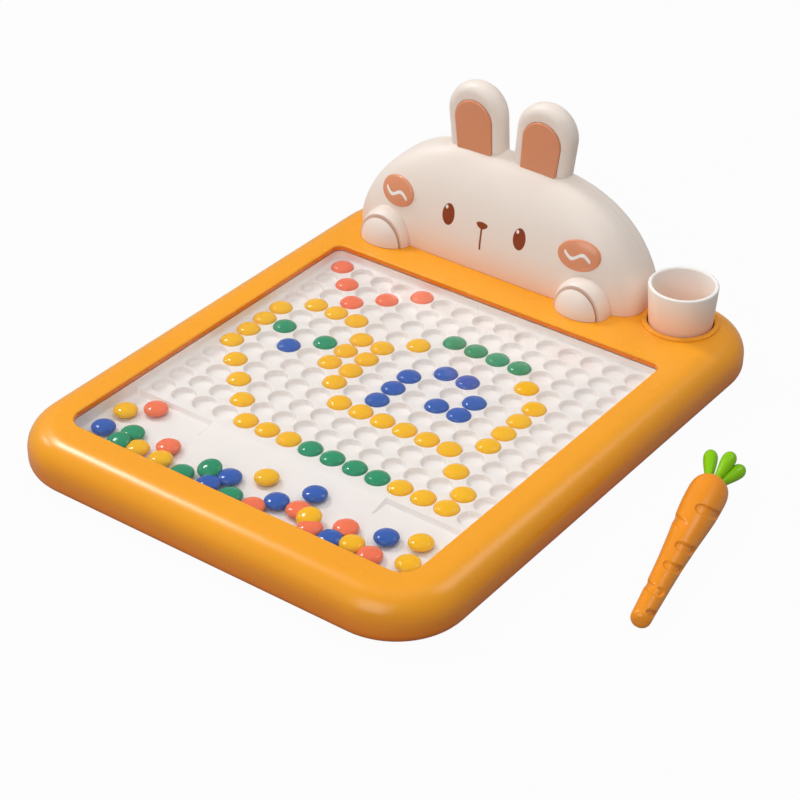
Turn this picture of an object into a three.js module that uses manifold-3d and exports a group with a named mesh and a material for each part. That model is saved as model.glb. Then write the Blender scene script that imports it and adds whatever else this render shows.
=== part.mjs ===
// A child's magnetic drawing board. A tray of round pockets lies under a clear sheet in a thick
// rounded frame, a rabbit's head stands on the back deck beside a cup, and a carrot shaped pen
// with a magnet in its tip lies on the table. Magnetic beads lie in the pockets and in a trough.
// Millimetres, +Z up, the origin in the middle of the flat underside.
import * as THREE from 'three';
import { mergeVertices } from 'three/addons/utils/BufferGeometryUtils.js';
import Module from 'manifold-3d';

const wasm = await Module();
wasm.setup();
const { Manifold, Mesh: SolidMesh } = wasm;

// Driving dimensions: the bead lattice sets the window, and the window sets the frame
const pitch = 14.5;
const columns = 15;
const rows = 12;
const beadDiameter = 12.6;
const beadThickness = 6;
const pocketPlay = 0.5;
const pocketDepth = 1.2;
const sideMargin = 2.95;
const backMargin = 2.1;
const stepMargin = 4.3;
const troughLength = 57;

// Frame
const railWidth = 25;
const frontRail = 27;
const backDeck = 80;
const frameHeight = 26;
const frameCorner = 41;
const topRoundWidth = 16;
const topRoundHeight = 14.5;
const bottomRound = 7;
const frameWall = 2.4;
const deckThickness = 2.2;
const windowFrontCorner = 11;
const windowBackCorner = 4;
const rimWidth = 8.5;
const ledgeWidth = 4;
const ledgeThickness = 2;

// Inside the frame
const sheetThickness = 1.5;
const sheetOverlap = 2.6;
const trayWall = 2.4;
const trayFloor = 2.3;
const stepHeight = 1.5;
const rampLength = 12;
const rampWidth = 114;
const chamberHeight = 6.6;
const bottomThickness = 3;
const ribThickness = 2;
const lengthRibs = 3;
const crossRibs = 4;

// Screws and their bosses
const screwRadius = 1.5;
const screwHeadRadius = 3;
const screwHeadHeight = 1.4;
const screwLength = 11;
const screwRecess = 1.9;
const bossRadius = 4;
const bossInset = 14;
const cornerBossAngle = Math.PI / 9;

// Head: the powers of its plan, in front of and behind its widest line, and of its two side views
const headSideMargin = 13.7;
const headCupGap = 0.3;
const headSetback = 23;
const headDepth = 41;
const headFrontDepth = 29.1;
const headHeight = 65;
const headLean = 2.8;
const headWall = 2.4;
const headSplit = 31;
const headPlan_shares = [4.4, 7];
const headLength_shares = [1.67, 2.77];
const headDepth_shares = [2.8, 1.8];
const headCrest_share = 0.9996;
const faceOffset = 1.6;
const headBossSpread = 96;
const headBossHeight = 14;
const headBossSetback = 5.6;
const rearScrewSpread = 104;
const rearScrewHeight = 30;
const rearScrewDepth = 5;

// Ears
const earSpacing = 50.6;
const earWidth = 36.6;
const earBaseWidth = 34.4;
const earTop = 102.7;
const earRoot = 46;
const earThickness = 14;
const earRound = 5;
const earLean = Math.PI / 36;
const earSetback = 24;
const earTabWidth = 16;
const earTabThickness = 5;
const earTabDepth = 12;
const insertWidth = 25.4;
const insertBaseWidth = 23.6;
const insertTop = 93.6;
const insertBottom = 57;
const insertThickness = 2.6;
const insertProud = 1.2;
const insertRound = 0.8;

// Cheeks and paws
const cheekSpacing = 126;
const cheekWidth = 26;
const cheekHeight = 17.4;
const cheekLift = 30.4;
const cheekThickness = 1.5;
const pawSpacing = 137.2;
const pawWidth = 34;
const pawHeight = 19.4;
const pawReach = 12.5;
const pawRoot = 8;
const pawGrooveSetback = 5.8;
const pawGrooveWidth = 1.6;
const pawGrooveDepth = 1.5;
const pawStep = 1.1;

// Cup and its socket
const cupSideMargin = 40;
const cupBackMargin = 34.1;
const cupTopRadius = 19.9;
const cupBottomRadius = 17.2;
const cupRise = 24.9;
const cupWall = 1.9;
const cupFloor = 2.2;
const cupPlay = 0.7;
const socketWall = 2;
const socketFloor = 1.8;
const collarWidth = 1.7;
const collarHeight = 1.3;

// Pen
const penLength = 118.5;
const penTipRadius = 5.2;
const penShoulderRadius = 10.3;
const penGap = 63.6;
const penTipY = -83.9;
const penTurn = 12.3 * Math.PI / 180;
const penRadii_shares = [[0, 1], [0.18, 1.12], [0.42, 1.34], [0.62, 1.6], [0.78, 1.87], [0.86, 1.96]];
const penRoof_shares = [[0.93, 0.95], [0.975, 0.82], [1, 0.62]];
const magnetRadius = 3.8;
const magnetLength = 9;
const tipCapThickness = 1.6;
const tipCapInset = 1.1;
const grooveWidth = 6.4;
const grooveLength = 10;
const grooveDepth = 0.7;
const grooves_shares = [[0.04, 0.97], [0.17, 0.53], [0.32, 0.67], [0.465, 0.7], [0.61, 0.05], [0.725, 0.8]];
const leafLength = 22;
const leafRadius = 3.6;
const leafNeck = 1.9;
const leafSplay = 17 * Math.PI / 180;
const leafRing = 1.6;
const leafCount = 4;
const plugRadius = 4.8;
const plugDepth = 5;

// Clearances, the overrun of every cut, and the welding distance of a mesh
const seatGap = 0.2;
const fitGap = 0.3;
const overrun = 1;
const weld = 0.0001;

// Counts of facets, kept low where a form repeats
const cornerSteps = 5;
const windowSteps = 3;
const headSides = 28;
const headLevels = 7;
const roundSides = 24;
const ovalSides = 20;
const penSides = 12;
const bossSides = 8;
const pocketSides = 6;
const holeSides = 6;

// Worked out from the driving dimensions
const pocketRadius = beadDiameter / 2 + pocketPlay / 2;
const windowWidth = (columns - 1) * pitch + 2 * (pocketRadius + sideMargin);
const boardLength = (rows - 1) * pitch + 2 * pocketRadius + backMargin + stepMargin;
const windowLength = boardLength + troughLength;
const frameWidth = windowWidth + 2 * railWidth;
const frameLength = frontRail + windowLength + backDeck;
const frameBack = frameLength / 2;
const windowFront = frontRail - frameBack;
const windowBack = frameBack - backDeck;
const stepY = windowFront + troughLength;
const firstRowY = stepY + stepMargin + pocketRadius;
const firstColumnX = -(columns - 1) * pitch / 2;
const deckUnderside = frameHeight - deckThickness;
const sheetTop = deckUnderside - seatGap;
const trayTop = sheetTop - sheetThickness - seatGap;
const boardZ = trayTop + seatGap - chamberHeight;
const troughZ = boardZ - stepHeight;
const trayBottom = troughZ - trayFloor;
const ledgeZ = bottomThickness + seatGap;
const cupX = frameWidth / 2 - cupSideMargin;
const cupY = frameBack - cupBackMargin;
const headLeft = headSideMargin - frameWidth / 2;
const headRight = cupX - cupTopRadius - collarWidth - headCupGap;
const headX = (headLeft + headRight) / 2;
const headHalf = (headRight - headLeft) / 2;
const faceX = headX - faceOffset;
const headFront = windowBack + headSetback;
const headZ = frameHeight + seatGap;

// Turns a closed geometry into a solid that can be joined and cut
function solid(geometry) {
  const bare = geometry.clone();
  for (const name of Object.keys(bare.attributes)) {
    if (name !== 'position') bare.deleteAttribute(name);
  }
  const merged = mergeVertices(bare, weld);
  const corners = merged.index.array;
  const kept = [];
  for (let i = 0; i < corners.length; i += 3) {
    const [a, b, c] = [corners[i], corners[i + 1], corners[i + 2]];
    if (a !== b && b !== c && c !== a) kept.push(a, b, c);
  }
  const vertProperties = new Float32Array(merged.attributes.position.array);
  return new Manifold(new SolidMesh({ numProp: 3, vertProperties, triVerts: new Uint32Array(kept) }));
}

// Turns a solid back into a geometry
function geometryOf(body) {
  const mesh = body.getMesh();
  const geometry = new THREE.BufferGeometry();
  geometry.setAttribute('position', new THREE.BufferAttribute(mesh.vertProperties, 3));
  geometry.setIndex(new THREE.BufferAttribute(mesh.triVerts, 1));
  geometry.computeVertexNormals();
  return geometry;
}

function join(...bodies) {
  return Manifold.union(bodies);
}

// A closed skin through rings of equally many points, from the lowest ring to the highest
function loft(rings) {
  const count = rings[0].length;
  const positions = rings.flat().flat();
  const index = [];
  for (let k = 0; k + 1 < rings.length; k += 1) {
    for (let i = 0; i < count; i += 1) {
      const a = k * count + i;
      const b = k * count + (i + 1) % count;
      index.push(a, b, b + count, a, b + count, a + count);
    }
  }
  const last = (rings.length - 1) * count;
  const outline = rings[0].map(([x, y]) => new THREE.Vector2(x, y));
  for (const [a, b, c] of THREE.ShapeUtils.triangulateShape(outline, [])) {
    index.push(a, c, b);
  }
  const topOutline = rings[rings.length - 1].map(([x, y]) => new THREE.Vector2(x, y));
  for (const [a, b, c] of THREE.ShapeUtils.triangulateShape(topOutline, [])) {
    index.push(last + a, last + b, last + c);
  }
  const geometry = new THREE.BufferGeometry();
  geometry.setAttribute('position', new THREE.Float32BufferAttribute(positions, 3));
  geometry.setIndex(index);
  return solid(geometry);
}

// The points of a rectangle with round corners, counterclockwise from its back right corner
function roundedOutline({ left, right, front, back, frontCorner, backCorner, steps }) {
  const corners = [
    [right - backCorner, back - backCorner, backCorner, 0],
    [left + backCorner, back - backCorner, backCorner, 1],
    [left + frontCorner, front + frontCorner, frontCorner, 2],
    [right - frontCorner, front + frontCorner, frontCorner, 3],
  ];
  const points = [];
  for (const [x, y, radius, quarter] of corners) {
    for (let k = 0; k <= steps; k += 1) {
      const angle = (quarter + k / steps) * Math.PI / 2;
      points.push([x + radius * Math.cos(angle), y + radius * Math.sin(angle)]);
    }
  }
  return points;
}

// The frame's own outline, drawn in by an inset
function frameOutline(inset, steps) {
  return roundedOutline({
    left: inset - frameWidth / 2,
    right: frameWidth / 2 - inset,
    front: inset - frameBack,
    back: frameBack - inset,
    frontCorner: frameCorner - inset,
    backCorner: frameCorner - inset,
    steps,
  });
}

// The window's outline, widened by a margin
function windowOutline(margin, steps) {
  return roundedOutline({
    left: -windowWidth / 2 - margin,
    right: windowWidth / 2 + margin,
    front: windowFront - margin,
    back: windowBack + margin,
    frontCorner: windowFrontCorner + margin,
    backCorner: windowBackCorner + margin,
    steps,
  });
}

function atHeight(outline, z) {
  return outline.map(([x, y]) => [x, y, z]);
}

function prism(outline, low, high) {
  return loft([atHeight(outline, low), atHeight(outline, high)]);
}

function box(left, right, front, back, low, high) {
  const geometry = new THREE.BoxGeometry(right - left, back - front, high - low);
  geometry.translate((left + right) / 2, (front + back) / 2, (low + high) / 2);
  return solid(geometry);
}

// A round bar along Z
function bar(x, y, radius, low, high, sides) {
  const geometry = new THREE.CylinderGeometry(radius, radius, high - low, sides);
  geometry.rotateX(Math.PI / 2);
  geometry.translate(x, y, (low + high) / 2);
  return solid(geometry);
}

// A turned body about Z from a profile of radius and height, from its lowest point to its highest
function turned(profile, sides) {
  const points = profile.map(([radius, height]) => new THREE.Vector2(radius, height));
  const geometry = new THREE.LatheGeometry(points, sides);
  geometry.rotateX(Math.PI / 2);
  return geometry;
}

function colour(hex, roughness, opacity = 1) {
  return new THREE.MeshStandardMaterial({
    color: hex,
    roughness,
    metalness: 0,
    opacity,
    transparent: opacity < 1,
  });
}

const finishes = {
  orange: () => colour(0xffaa30, 0.35),
  cream: () => colour(0xf3e6db, 0.45),
  white: () => colour(0xf2eee9, 0.5),
  clear: () => colour(0xffffff, 0.05, 0.15),
  peach: () => colour(0xd98a62, 0.4),
  leaf: () => colour(0x7cc81e, 0.35),
  steel: () => new THREE.MeshStandardMaterial({ color: 0x9a9a9c, roughness: 0.35, metalness: 1 }),
  yellow: () => colour(0xf8b40c, 0.25),
  green: () => colour(0x2a9a72, 0.25),
  blue: () => colour(0x3a62b0, 0.25),
  coral: () => colour(0xec7050, 0.25),
};

const board = new THREE.Group();

function add(name, geometry, finish, parent = board) {
  const mesh = new THREE.Mesh(geometry, finishes[finish]());
  mesh.name = name;
  parent.add(mesh);
  return mesh;
}

// Where the screws of the underside stand: one in each corner and one in the middle of each side
const cornerBossRadius = frameCorner - bossInset;
const cornerBossX = frameWidth / 2 - frameCorner + cornerBossRadius * Math.cos(cornerBossAngle);
const cornerBossY = frameBack - frameCorner + cornerBossRadius * Math.sin(cornerBossAngle);
const coverScrews = [
  [-cornerBossX, -cornerBossY],
  [0, bossInset - frameBack],
  [cornerBossX, -cornerBossY],
  [frameWidth / 2 - bossInset, 0],
  [cornerBossX, cornerBossY],
  [0, frameBack - bossInset],
  [-cornerBossX, cornerBossY],
  [bossInset - frameWidth / 2, 0],
];
const headBossY = headFront + headBossSetback;
const headScrews = [[headX - headBossSpread / 2, headBossY], [headX + headBossSpread / 2, headBossY]];

// Top frame: a rounded shell, open below, with the window, the cup's socket and the screw bosses
function topFrame() {
  const steps = cornerSteps;
  const bottomSteps = 2;
  const topSteps = 3;
  const outer = [];
  for (let k = 0; k <= bottomSteps; k += 1) {
    const angle = k / bottomSteps * Math.PI / 2;
    const inset = bottomRound * (1 - Math.sin(angle));
    outer.push(atHeight(frameOutline(inset, steps), bottomRound * (1 - Math.cos(angle))));
  }
  const cavity = [];
  cavity.push(atHeight(frameOutline(frameWall, steps), ledgeZ + ledgeThickness));
  const shoulder = frameHeight - topRoundHeight;
  for (let k = 0; k <= topSteps; k += 1) {
    const angle = k / topSteps * Math.PI / 2;
    const inset = topRoundWidth * (1 - Math.cos(angle));
    outer.push(atHeight(frameOutline(inset, steps), shoulder + topRoundHeight * Math.sin(angle)));
    const innerInset = frameWall + (topRoundWidth - frameWall) * (1 - Math.cos(angle));
    const innerHeight = shoulder + (topRoundHeight - deckThickness) * Math.sin(angle);
    cavity.push(atHeight(frameOutline(innerInset, steps), innerHeight));
  }
  const seat = prism(frameOutline(rimWidth, steps), -overrun, ledgeZ);
  const throat = prism(frameOutline(rimWidth + ledgeWidth, steps), 0, ledgeZ + ledgeThickness + overrun);
  const hollow = join(loft(cavity), seat, throat);
  const lip = prism(windowOutline(0, steps), 0, frameHeight + overrun);
  const bossTop = deckUnderside + seatGap;
  const bosses = coverScrews.map(([x, y]) => bar(x, y, bossRadius, ledgeZ, bossTop, bossSides));
  const collarTop = frameHeight + collarHeight;
  const collar = bar(cupX, cupY, cupTopRadius + collarWidth, deckUnderside, collarTop, roundSides);
  const wellBottom = ledgeZ + seatGap;
  const wellRadius = cupTopRadius + socketWall;
  const well = bar(cupX, cupY, wellRadius, wellBottom, bossTop, roundSides);
  const pilots = coverScrews.map(([x, y]) => {
    return bar(x, y, screwRadius + fitGap, 0, screwRecess + screwLength + overrun, holeSides);
  });
  const headHoles = headScrews.map(([x, y]) => {
    return bar(x, y, screwRadius + fitGap, 0, frameHeight + overrun, holeSides);
  });
  const floor = wellBottom + socketFloor;
  const cutTop = collarTop + overrun;
  const slope = (cupTopRadius - cupBottomRadius) / (frameHeight + cupRise - floor - seatGap);
  const socketProfile = [
    [0, floor],
    [cupBottomRadius + cupPlay, floor],
    [cupBottomRadius + cupPlay + slope * (cutTop - floor), cutTop],
    [0, cutTop],
  ];
  const socket = solid(turned(socketProfile, roundSides).translate(cupX, cupY, 0));
  const shell = loft(outer).subtract(hollow).subtract(lip);
  return join(shell, ...bosses, collar, well).subtract(join(...pilots, ...headHoles, socket));
}

// Bottom cover: a flat plate with countersunk screw seats and the ribs that carry the tray
function bottomCover() {
  const plate = prism(frameOutline(rimWidth + fitGap, cornerSteps), 0, bottomThickness);
  const ribRoot = bottomThickness / 2;
  const ribTop = trayBottom - seatGap;
  const reachX = windowWidth / 2 - ribThickness;
  const ribs = [];
  for (let k = 0; k < lengthRibs; k += 1) {
    const x = reachX * (2 * k / (lengthRibs - 1) - 1);
    const front = windowFront + windowFrontCorner;
    const back = windowBack - windowFrontCorner;
    ribs.push(box(x - ribThickness / 2, x + ribThickness / 2, front, back, ribRoot, ribTop));
  }
  for (let k = 0; k < crossRibs; k += 1) {
    const share = (k + 1) / (crossRibs + 1);
    const y = windowFront + windowLength * share;
    ribs.push(box(-reachX, reachX, y - ribThickness / 2, y + ribThickness / 2, ribRoot, ribTop));
  }
  const holes = coverScrews.map(([x, y]) => join(
    bar(x, y, screwRadius + fitGap, -overrun, bottomThickness + overrun, holeSides),
    bar(x, y, screwHeadRadius + fitGap, -overrun, screwRecess, bossSides),
  ));
  return join(plate, ...ribs).subtract(join(...holes));
}

// Bead tray: a lattice of tapered round pockets, a lower trough in front, and a ramp between them
function beadTray() {
  const outer = prism(windowOutline(trayWall, windowSteps), trayBottom, trayTop);
  const inside = windowOutline(0, windowSteps);
  const chamber = prism(inside, boardZ, trayTop + overrun);
  const front = box(-windowWidth / 2, windowWidth / 2, windowFront, stepY, troughZ, trayTop + overrun);
  const trough = prism(inside, troughZ, trayTop + overrun).intersect(front);
  const rampFoot = stepY - rampLength;
  const rampSide = [[rampFoot, troughZ - seatGap], [stepY + seatGap, troughZ - seatGap]];
  const rampProfile = [...rampSide, [stepY + seatGap, boardZ], [stepY, boardZ], [rampFoot, troughZ]];
  const rampShape = new THREE.Shape(rampProfile.map(([y, z]) => new THREE.Vector2(y, z)));
  const ramp = new THREE.ExtrudeGeometry(rampShape, { depth: rampWidth, bevelEnabled: false });
  ramp.rotateX(Math.PI / 2);
  ramp.rotateZ(Math.PI / 2);
  ramp.translate(-rampWidth / 2, 0, 0);
  const pocketFloor = boardZ - pocketDepth;
  const pockets = [];
  for (let row = 0; row < rows; row += 1) {
    for (let column = 0; column < columns; column += 1) {
      const foot = pocketRadius - pocketPlay;
      const cone = new THREE.CylinderGeometry(pocketRadius, foot, 2 * pocketDepth, pocketSides);
      cone.rotateX(Math.PI / 2);
      cone.translate(firstColumnX + column * pitch, firstRowY + row * pitch, pocketFloor + pocketDepth);
      pockets.push(solid(cone));
    }
  }
  return outer.subtract(join(chamber, trough)).add(solid(ramp)).subtract(join(...pockets));
}

// Clear sheet: it lies on the tray's wall under the frame's lip and shuts the beads in
function clearSheet() {
  return prism(windowOutline(sheetOverlap, windowSteps), trayTop + seatGap, sheetTop);
}

// The head's form: in plan a superellipse, squarer behind its widest line than in front of it, whose
// length and depth shrink to nothing at its crest. grow makes it larger all round, so that it also
// gives the inner wall and the cheeks
function headForm(grow, low, sides, levels) {
  const [lengthPower, lengthRoot] = headLength_shares;
  const [depthPower, depthRoot] = headDepth_shares;
  const [frontPower, backPower] = headPlan_shares;
  const rings = [];
  for (let k = 0; k <= levels; k += 1) {
    const share = headCrest_share * Math.sin(k / levels * Math.PI / 2);
    const length = (headHalf + grow) * (1 - share ** lengthPower) ** (1 / lengthRoot);
    const swell = (1 - share ** depthPower) ** (1 / depthRoot);
    const middle = headFront + headFrontDepth + headLean * share;
    const z = k === 0 ? headZ + low : headZ + (headHeight + grow) * share;
    const ring = [];
    for (let i = 0; i < sides; i += 1) {
      const angle = i / sides * 2 * Math.PI;
      const [c, s] = [Math.cos(angle), Math.sin(angle)];
      const power = s > 0 ? backPower : frontPower;
      const depth = (grow + (s > 0 ? headDepth - headFrontDepth : headFrontDepth)) * swell;
      const x = length * Math.sign(c) * Math.abs(c) ** (2 / power);
      const y = depth * Math.sign(s) * Math.abs(s) ** (2 / power);
      ring.push([headX + x, middle + y, z]);
    }
    rings.push(ring);
  }
  return loft(rings);
}

const headSkin = headForm(0, 0, headSides, headLevels);
const splitY = headFront + headSplit;
const rearScrews = [-1, 1].map((side) => headX + side * rearScrewSpread / 2);
const rearZ = headZ + rearScrewHeight;

// A round bar along Y, from its front end to its back end
function crossBar(x, z, radius, front, back, sides) {
  const geometry = new THREE.CylinderGeometry(radius, radius, back - front, sides);
  geometry.translate(x, (front + back) / 2, 0);
  geometry.translate(0, 0, z);
  return solid(geometry);
}

// The ear's arch, seen from the front: straight sides that widen to a round top
function archShape(width, baseWidth, low, top, inset) {
  const radius = width / 2 - inset;
  const centre = top - width / 2;
  const shape = new THREE.Shape();
  shape.moveTo(inset - baseWidth / 2, low + inset);
  shape.lineTo(baseWidth / 2 - inset, low + inset);
  shape.lineTo(radius, centre);
  shape.absarc(0, centre, radius, 0, Math.PI, false);
  return shape;
}

// Stands a flat shape up on the head so that its back lies on backY, leaning out by the ear's lean
function standUp(geometry, side, backY) {
  geometry.rotateX(Math.PI / 2);
  geometry.rotateY(side * earLean);
  geometry.translate(faceX + side * (earSpacing / 2 - earTop * Math.sin(earLean)), backY, headZ);
  return geometry;
}

function earTab(side, gap) {
  const shape = new THREE.Shape();
  const half = earTabWidth / 2 + gap;
  shape.moveTo(-half, earRoot - earTabDepth - gap);
  shape.lineTo(half, earRoot - earTabDepth - gap);
  shape.lineTo(half, earTop - earWidth / 2);
  shape.lineTo(-half, earTop - earWidth / 2);
  const thickness = earTabThickness + 2 * gap;
  const geometry = new THREE.ExtrudeGeometry(shape, { depth: thickness, bevelEnabled: false });
  return solid(standUp(geometry, side, splitY + thickness / 2));
}

// Head shells: the skin less its inside, parted behind the crest, with the bosses they need
function headShells() {
  const inside = headForm(-headWall, -overrun, headSides / 2, headLevels - 2);
  const wide = frameWidth;
  const frontHalf = box(-wide, wide, 0, splitY - seatGap / 2, 0, headZ + headHeight + overrun);
  const backHalf = box(-wide, wide, splitY + seatGap / 2, 2 * frameBack, 0, headZ + headHeight + overrun);
  const bossTop = headZ + headBossHeight;
  const low = headScrews.map(([x, y]) => bar(x, y, bossRadius, headZ, bossTop, bossSides));
  const farY = splitY + headDepth;
  const frontBosses = rearScrews.map((x) => crossBar(x, rearZ, bossRadius, headFront, splitY, bossSides));
  const backBosses = rearScrews.map((x) => crossBar(x, rearZ, bossRadius, splitY, farY, bossSides));
  const shell = headSkin.subtract(inside);
  const bossed = join(shell, ...low, ...frontBosses, ...backBosses).intersect(headSkin);
  const seatY = splitY + rearScrewDepth;
  const boreRadius = screwRadius + fitGap;
  const holes = [
    ...headScrews.map(([x, y]) => bar(x, y, boreRadius, 0, bossTop - screwRadius, holeSides)),
    ...rearScrews.map((x) => crossBar(x, rearZ, boreRadius, splitY - screwLength, seatY, holeSides)),
    ...rearScrews.map((x) => crossBar(x, rearZ, screwHeadRadius + fitGap, seatY, farY, bossSides)),
    ...[-1, 1].map((side) => earTab(side, fitGap)),
  ];
  const cut = bossed.subtract(join(...holes));
  return [cut.intersect(frontHalf), cut.intersect(backHalf)];
}

// Ears: thick rounded arches with a tab that the two head shells clamp, and a raised inner panel
const earFront = headFront + earSetback;
const headSpace = headForm(fitGap, -overrun, headSides, headLevels);

function panelSolid(side, gap) {
  const round = gap > 0 ? 0 : insertRound;
  const width = insertWidth + 2 * gap;
  const baseWidth = insertBaseWidth + 2 * gap;
  const shape = archShape(width, baseWidth, insertBottom - gap, insertTop + gap, round);
  const thickness = insertThickness - 2 * round;
  const geometry = new THREE.ExtrudeGeometry(shape, {
    depth: thickness,
    bevelEnabled: round > 0,
    bevelThickness: round,
    bevelSize: round,
    bevelSegments: 1,
    curveSegments: 6,
  });
  const backY = earFront - insertProud + insertThickness - round + gap;
  return solid(standUp(geometry, side, backY));
}

function ear(side) {
  const shape = archShape(earWidth, earBaseWidth, earRoot, earTop, earRound);
  const geometry = new THREE.ExtrudeGeometry(shape, {
    depth: earThickness - 2 * earRound,
    bevelEnabled: true,
    bevelThickness: earRound,
    bevelSize: earRound,
    bevelSegments: 2,
    curveSegments: 6,
  });
  const slab = solid(standUp(geometry, side, earFront + earThickness - earRound)).subtract(headSpace);
  return join(slab, earTab(side, 0)).subtract(panelSolid(side, fitGap));
}

// Cheeks: oval pads that follow the face
function cheek(side) {
  const x = faceX + side * cheekSpacing / 2;
  const oval = new THREE.CylinderGeometry(cheekWidth / 2, cheekWidth / 2, headDepth, ovalSides);
  oval.scale(1, 1, cheekHeight / cheekWidth);
  oval.translate(x, headFront, headZ + cheekLift);
  return headForm(cheekThickness, 0, headSides, headLevels).intersect(solid(oval)).subtract(headSpace);
}

// Paws: half domes on the deck against the face, with the groove that parts the fingers
function paw(side) {
  const tip = headFront - pawReach;
  const full = pawReach + pawRoot;
  const radiusAt = (y) => pawHeight * Math.sqrt(Math.max(0, 1 - ((headFront - y) / pawReach) ** 2));
  const front = [];
  const frontSteps = 3;
  const grooveY = tip + pawGrooveSetback;
  const grooveBack = grooveY + pawGrooveWidth;
  for (let k = 0; k <= frontSteps; k += 1) {
    const y = tip + (grooveY - tip) * (k / frontSteps) ** 2;
    front.push([Math.max(0, radiusAt(y) - pawStep * k / frontSteps), y]);
  }
  const deep = radiusAt(grooveY) - pawStep - pawGrooveDepth;
  const profile = [
    ...front,
    [deep, grooveY + pawGrooveWidth / 2],
    [deep, grooveBack],
    [radiusAt(grooveBack), grooveBack + pawGrooveWidth / 2],
    [radiusAt(headFront), headFront],
    [radiusAt(headFront), tip + full],
    [0, tip + full],
  ];
  const points = profile.map(([radius, y]) => new THREE.Vector2(radius, y));
  const dome = new THREE.LatheGeometry(points, ovalSides);
  dome.scale(pawWidth / 2 / pawHeight, 1, 1);
  dome.translate(headX + side * pawSpacing / 2, 0, headZ);
  const above = box(-frameWidth, frameWidth, 0, frameBack, headZ, headZ + headHeight);
  return solid(dome).intersect(above).subtract(headSpace);
}

// Cup: a tapered tumbler with an even wall, standing in the socket of the deck
function cup() {
  const low = ledgeZ + seatGap + socketFloor + seatGap;
  const top = frameHeight + cupRise;
  const taper = (cupTopRadius - cupBottomRadius) / (top - low);
  const profile = [
    [0, low],
    [cupBottomRadius - cupWall / 2, low],
    [cupBottomRadius + taper * cupWall / 2, low + cupWall / 2],
    [cupTopRadius, top - cupWall / 4],
    [cupTopRadius - cupWall / 4, top],
    [cupTopRadius - cupWall * 3 / 4, top],
    [cupTopRadius - cupWall, top - cupWall / 4],
    [cupBottomRadius - cupWall + taper * cupFloor, low + cupFloor],
    [0, low + cupFloor],
  ];
  return solid(turned(profile, roundSides).translate(cupX, cupY, 0));
}

// Screw: a flat round head with a plain shank, pointing along +Z from the head's lower face
function screw() {
  const profile = [
    [0, 0],
    [screwHeadRadius, 0],
    [screwHeadRadius, screwHeadHeight],
    [screwRadius, screwHeadHeight],
    [screwRadius, screwLength - screwRadius],
    [0, screwLength],
  ];
  return solid(turned(profile, holeSides));
}

// Beads: lens shaped, of one size, in four colours
const lens_shares = [[0.73, -0.8], [1, 0], [0.73, 0.8]];

function bead() {
  const [radius, half] = [beadDiameter / 2, beadThickness / 2];
  const profile = [[0, -half]];
  for (const [across, up] of lens_shares) profile.push([radius * across, half * up]);
  profile.push([0, half]);
  return solid(turned(profile, bossSides));
}

// The picture that the beads make, from the row nearest to the trough: the letters are colours
const picture = [
  '....YYYGGGGYYY.',
  '...Y.........Y.',
  '..Y.........Y..',
  '.Y....YYYYYY...',
];
const colourOf = { Y: 'yellow', G: 'green', B: 'blue', C: 'coral' };

// Loose beads in the trough, as shares of the window's width and of the trough's length
const looseBeads_shares = [
  ['Y', 0.045, 0.641],
  ['C', 0.099, 0.834],
  ['B', 0.051, 0.313],
  ['G', 0.124, 0.398],
  ['C', 0.229, 0.431],
  ['Y', 0.491, 0.596],
];

// Pen, built upright on its tip and then laid down: body, tip cap, magnet and leaves
const penProfile = penRadii_shares.map(([along, radius]) => [penTipRadius * radius, penLength * along]);
const penShoulder = penRoof_shares.map(([along, radius]) => [penShoulderRadius * radius, penLength * along]);

function penForm(shrink) {
  const inner = [...penProfile, ...penShoulder].map(([radius, z]) => [radius - shrink, z]);
  const foot = [[0, inner[0][1]], [inner[0][0] - tipCapInset, inner[0][1]], [inner[0][0], tipCapInset]];
  return solid(turned([...foot, ...inner.slice(1), [0, penLength]], penSides));
}

function penBody() {
  let body = penForm(0);
  const core = penForm(grooveDepth);
  for (const [along, turn] of grooves_shares) {
    const stadium = new THREE.Shape();
    const reach = (grooveLength - grooveWidth) / 2;
    stadium.absarc(reach, 0, grooveWidth / 2, -Math.PI / 2, Math.PI / 2, false);
    stadium.absarc(-reach, 0, grooveWidth / 2, Math.PI / 2, Math.PI * 3 / 2, false);
    const cutter = new THREE.ExtrudeGeometry(stadium, {
      depth: penShoulderRadius + overrun,
      bevelEnabled: false,
      curveSegments: 2,
    });
    cutter.rotateX(Math.PI / 2);
    cutter.rotateZ(turn);
    cutter.translate(0, 0, penLength * along);
    body = body.subtract(solid(cutter).subtract(core));
  }
  const boreTop = tipCapThickness + seatGap + magnetLength + seatGap;
  const bore = bar(0, 0, magnetRadius + fitGap, -overrun, boreTop, penSides);
  const plugFloor = penLength - plugDepth - seatGap;
  const socket = bar(0, 0, plugRadius + fitGap, plugFloor, penLength + overrun, penSides);
  return body.subtract(join(bore, socket));
}

function leaves() {
  const clubs = [];
  const neck = leafNeck / leafRadius;
  const clubs_shares = [[0, 0], [neck, 0.02], [neck, 0.25], [0.8, 0.55], [1, 0.8], [0.7, 0.95], [0, 1]];
  for (let k = 0; k < leafCount; k += 1) {
    const profile = clubs_shares.map(([radius, along]) => [leafRadius * radius, leafLength * along]);
    const club = turned(profile, bossSides);
    const turn = k / leafCount * 2 * Math.PI;
    club.rotateY(leafSplay);
    club.translate(leafRing, 0, penLength - leafRing);
    club.rotateZ(turn);
    clubs.push(solid(club));
  }
  const plug = bar(0, 0, plugRadius, penLength - plugDepth, penLength, penSides);
  return join(plug, ...clubs);
}

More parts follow.
